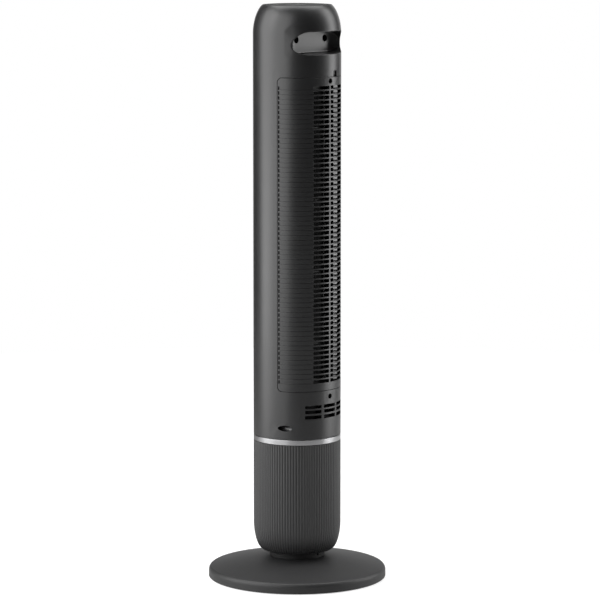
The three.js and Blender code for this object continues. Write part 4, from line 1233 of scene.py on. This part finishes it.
# Painted shade: a near-black, rough finish on the fan motor, which is seen in the shade inside the casing
# through the vents.
motor_shade_black = moulded("motor_shade_black", grey(0.002), grey(0.003), 0.8, 0.2)
bronze = satin_metal("sintered_bronze", (0.45, 0.26, 0.10, 1.0), 0.42)
nylon, board = nylon_finish("natural_nylon"), circuit_board("circuit_board")
inner_finishes = [
    (zinc, ["base_weight", "pivot_nut"]),
    (steel, ["pivot_tube", "oscillation_motor", "motor_shaft", "top_axle"]),
    (motor_shade_black, ["fan_motor"]),
    (nylon, ["fixed_gear", "thrust_washer", "drive_pinion"]),
    (black_plastic, ["swivel_plate", "motor_chassis", "head_plate"]),
    (bronze, ["motor_bush", "top_bearing_bush"]),
    (board, ["power_board", "control_board"]),
]
for material, names in inner_finishes:
    for name in names:
        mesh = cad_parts[name].data
        mesh.materials.clear()
        mesh.materials.append(material)

# ---------------------------------------------------------------- studio
# A long lens just above the fan's top, tall soft boxes on both sides, a small one low down at each side
# and a wide one overhead. The floor and the surround are white to the eye but give little light back.


def soft_box(name, bearing, distance, height, size, strength):
    """A rectangular lamp that faces the fan's axis, at a bearing from the lens, in metres and watts."""
    data = bpy.data.lights.new(name, "AREA")
    data.shape, data.size, data.size_y = "RECTANGLE", *size
    data.energy = strength
    lamp = placed(name, data)
    angle = math.radians(bearing)
    side = lens_way * math.cos(angle) + lens_right * math.sin(angle)
    lamp.location = side * distance + Vector((0, 0, height))
    aim = Vector((0, 0, min(height, 0.5))) - lamp.location
    lamp.rotation_euler = aim.to_track_quat("-Z", "Y").to_euler()
    lamp.visible_camera = False


lens_way = Vector((0.749, 0.6626, 0)).normalized()
lens_right = Vector((-lens_way.y, lens_way.x, 0))
lens_distance, lens_height, lens_tilt, lens_aside = 5.5376, 1.2667, math.radians(8.0), 0.0009
level_look = -lens_way + lens_right * lens_aside
look = (level_look * math.cos(lens_tilt) - Vector((0, 0, math.sin(lens_tilt)))).normalized()
lens = bpy.data.cameras.new("lens")
lens.lens, lens.sensor_width = 193.2, 36.0
camera = placed("lens", lens)
camera.location = lens_way * lens_distance + Vector((0, 0, lens_height))
camera.rotation_euler = look.to_track_quat("-Z", "Y").to_euler()
bpy.context.scene.camera = camera
bpy.context.scene.view_settings.view_transform = "Standard"

boxes = {
    "left_box": (-87, 1.3, 1.0, (0.93, 1.92), 23),
    "left_fill": (-45, 1.3, 1.0, (1.25, 1.92), 23.5),
    "left_low": (-80, 1.3, 0.3, (0.9, 0.6), 2.6),
    "right_box": (103, 1.3, 1.0, (0.58, 1.92), 18),
    "right_low": (87, 1.3, 0.3, (0.5, 0.6), 2.8),
    "top_box": (180, 0.3, 2.6, (2.6, 1.5), 60),
}
for name, box in boxes.items():
    soft_box(name, *box)


class Surround(Finish):
    """The world's nodes, written like a material's."""

    def __init__(self, world):
        world.use_nodes = True
        self.tree = world.node_tree


def seen(finish, others):
    """One for rays from the eye; rays from gloss and glass count as much as others says."""
    eye, gloss, glass = [finish.node("LightPath", output=f"Is {ray} Ray") for ray in (
        "Camera", "Glossy", "Transmission")]
    return eye + (gloss + glass) * others


def nearness(finish, way, aim, outer, inner):
    """From none to one as a direction turns towards an aim, between two angles from it in degrees."""
    cosine = finish.node("VectorMath", {"operation": "DOT_PRODUCT"}, {0: way, 1: aim}, output="Value")
    low, high = math.cos(math.radians(outer)), math.cos(math.radians(inner))
    limits = {"Value": cosine, "From Min": low, "From Max": high}
    return finish.node("MapRange", {"interpolation_type": "SMOOTHSTEP"}, limits)


world = bpy.data.worlds.new("studio")
bpy.context.scene.world = world
surround = Surround(world)
heading = surround.node("TexCoord", output="Generated")
backdrop = nearness(surround, heading, (-lens_way + lens_right * 0.14).normalized(), 32, 18)
white, dim = [surround.node("Background", None, {"Color": grey(1.0), "Strength": level})
              for level in (1.0, 0.05)]
mixed = surround.node("MixShader", None, {0: seen(surround, backdrop), 1: dim, 2: white})
surround.tree.links.new(mixed.socket, surround.tree.nodes["World Output"].inputs["Surface"])

ground = bpy.data.meshes.new("floor")
shape = bmesh.new()
bmesh.ops.create_circle(shape, cap_ends=True, segments=96, radius=2.6)
shape.to_mesh(ground)
shape.free()
floor = placed("floor", ground)
pale = Finish("pale_floor", {"Base Color": grey(0.35), "Roughness": 0.9, "Specular IOR Level": 0.1,
                             "Emission Strength": 1.0})
away = pale.node("VectorMath", {"operation": "LENGTH"}, {0: pale.place()}, output="Value")
lift = pale.node("MapRange", {"interpolation_type": "SMOOTHSTEP"}, {
    "Value": away, "From Min": 0.3, "From Max": 1.8, "To Min": 0.7, "To Max": 1.0})
far_left = lens_way * -math.cos(math.radians(20)) - lens_right * math.sin(math.radians(20))
outwards = pale.node("VectorMath", {"operation": "NORMALIZE"}, {0: pale.place()}, output="Vector")
shade = nearness(pale, outwards, far_left, 48, 18)
pale.feed(pale.shader, {"Emission Color": lift * seen(pale, 0.55 - shade * 0.5)})
ground.materials.append(pale.material)
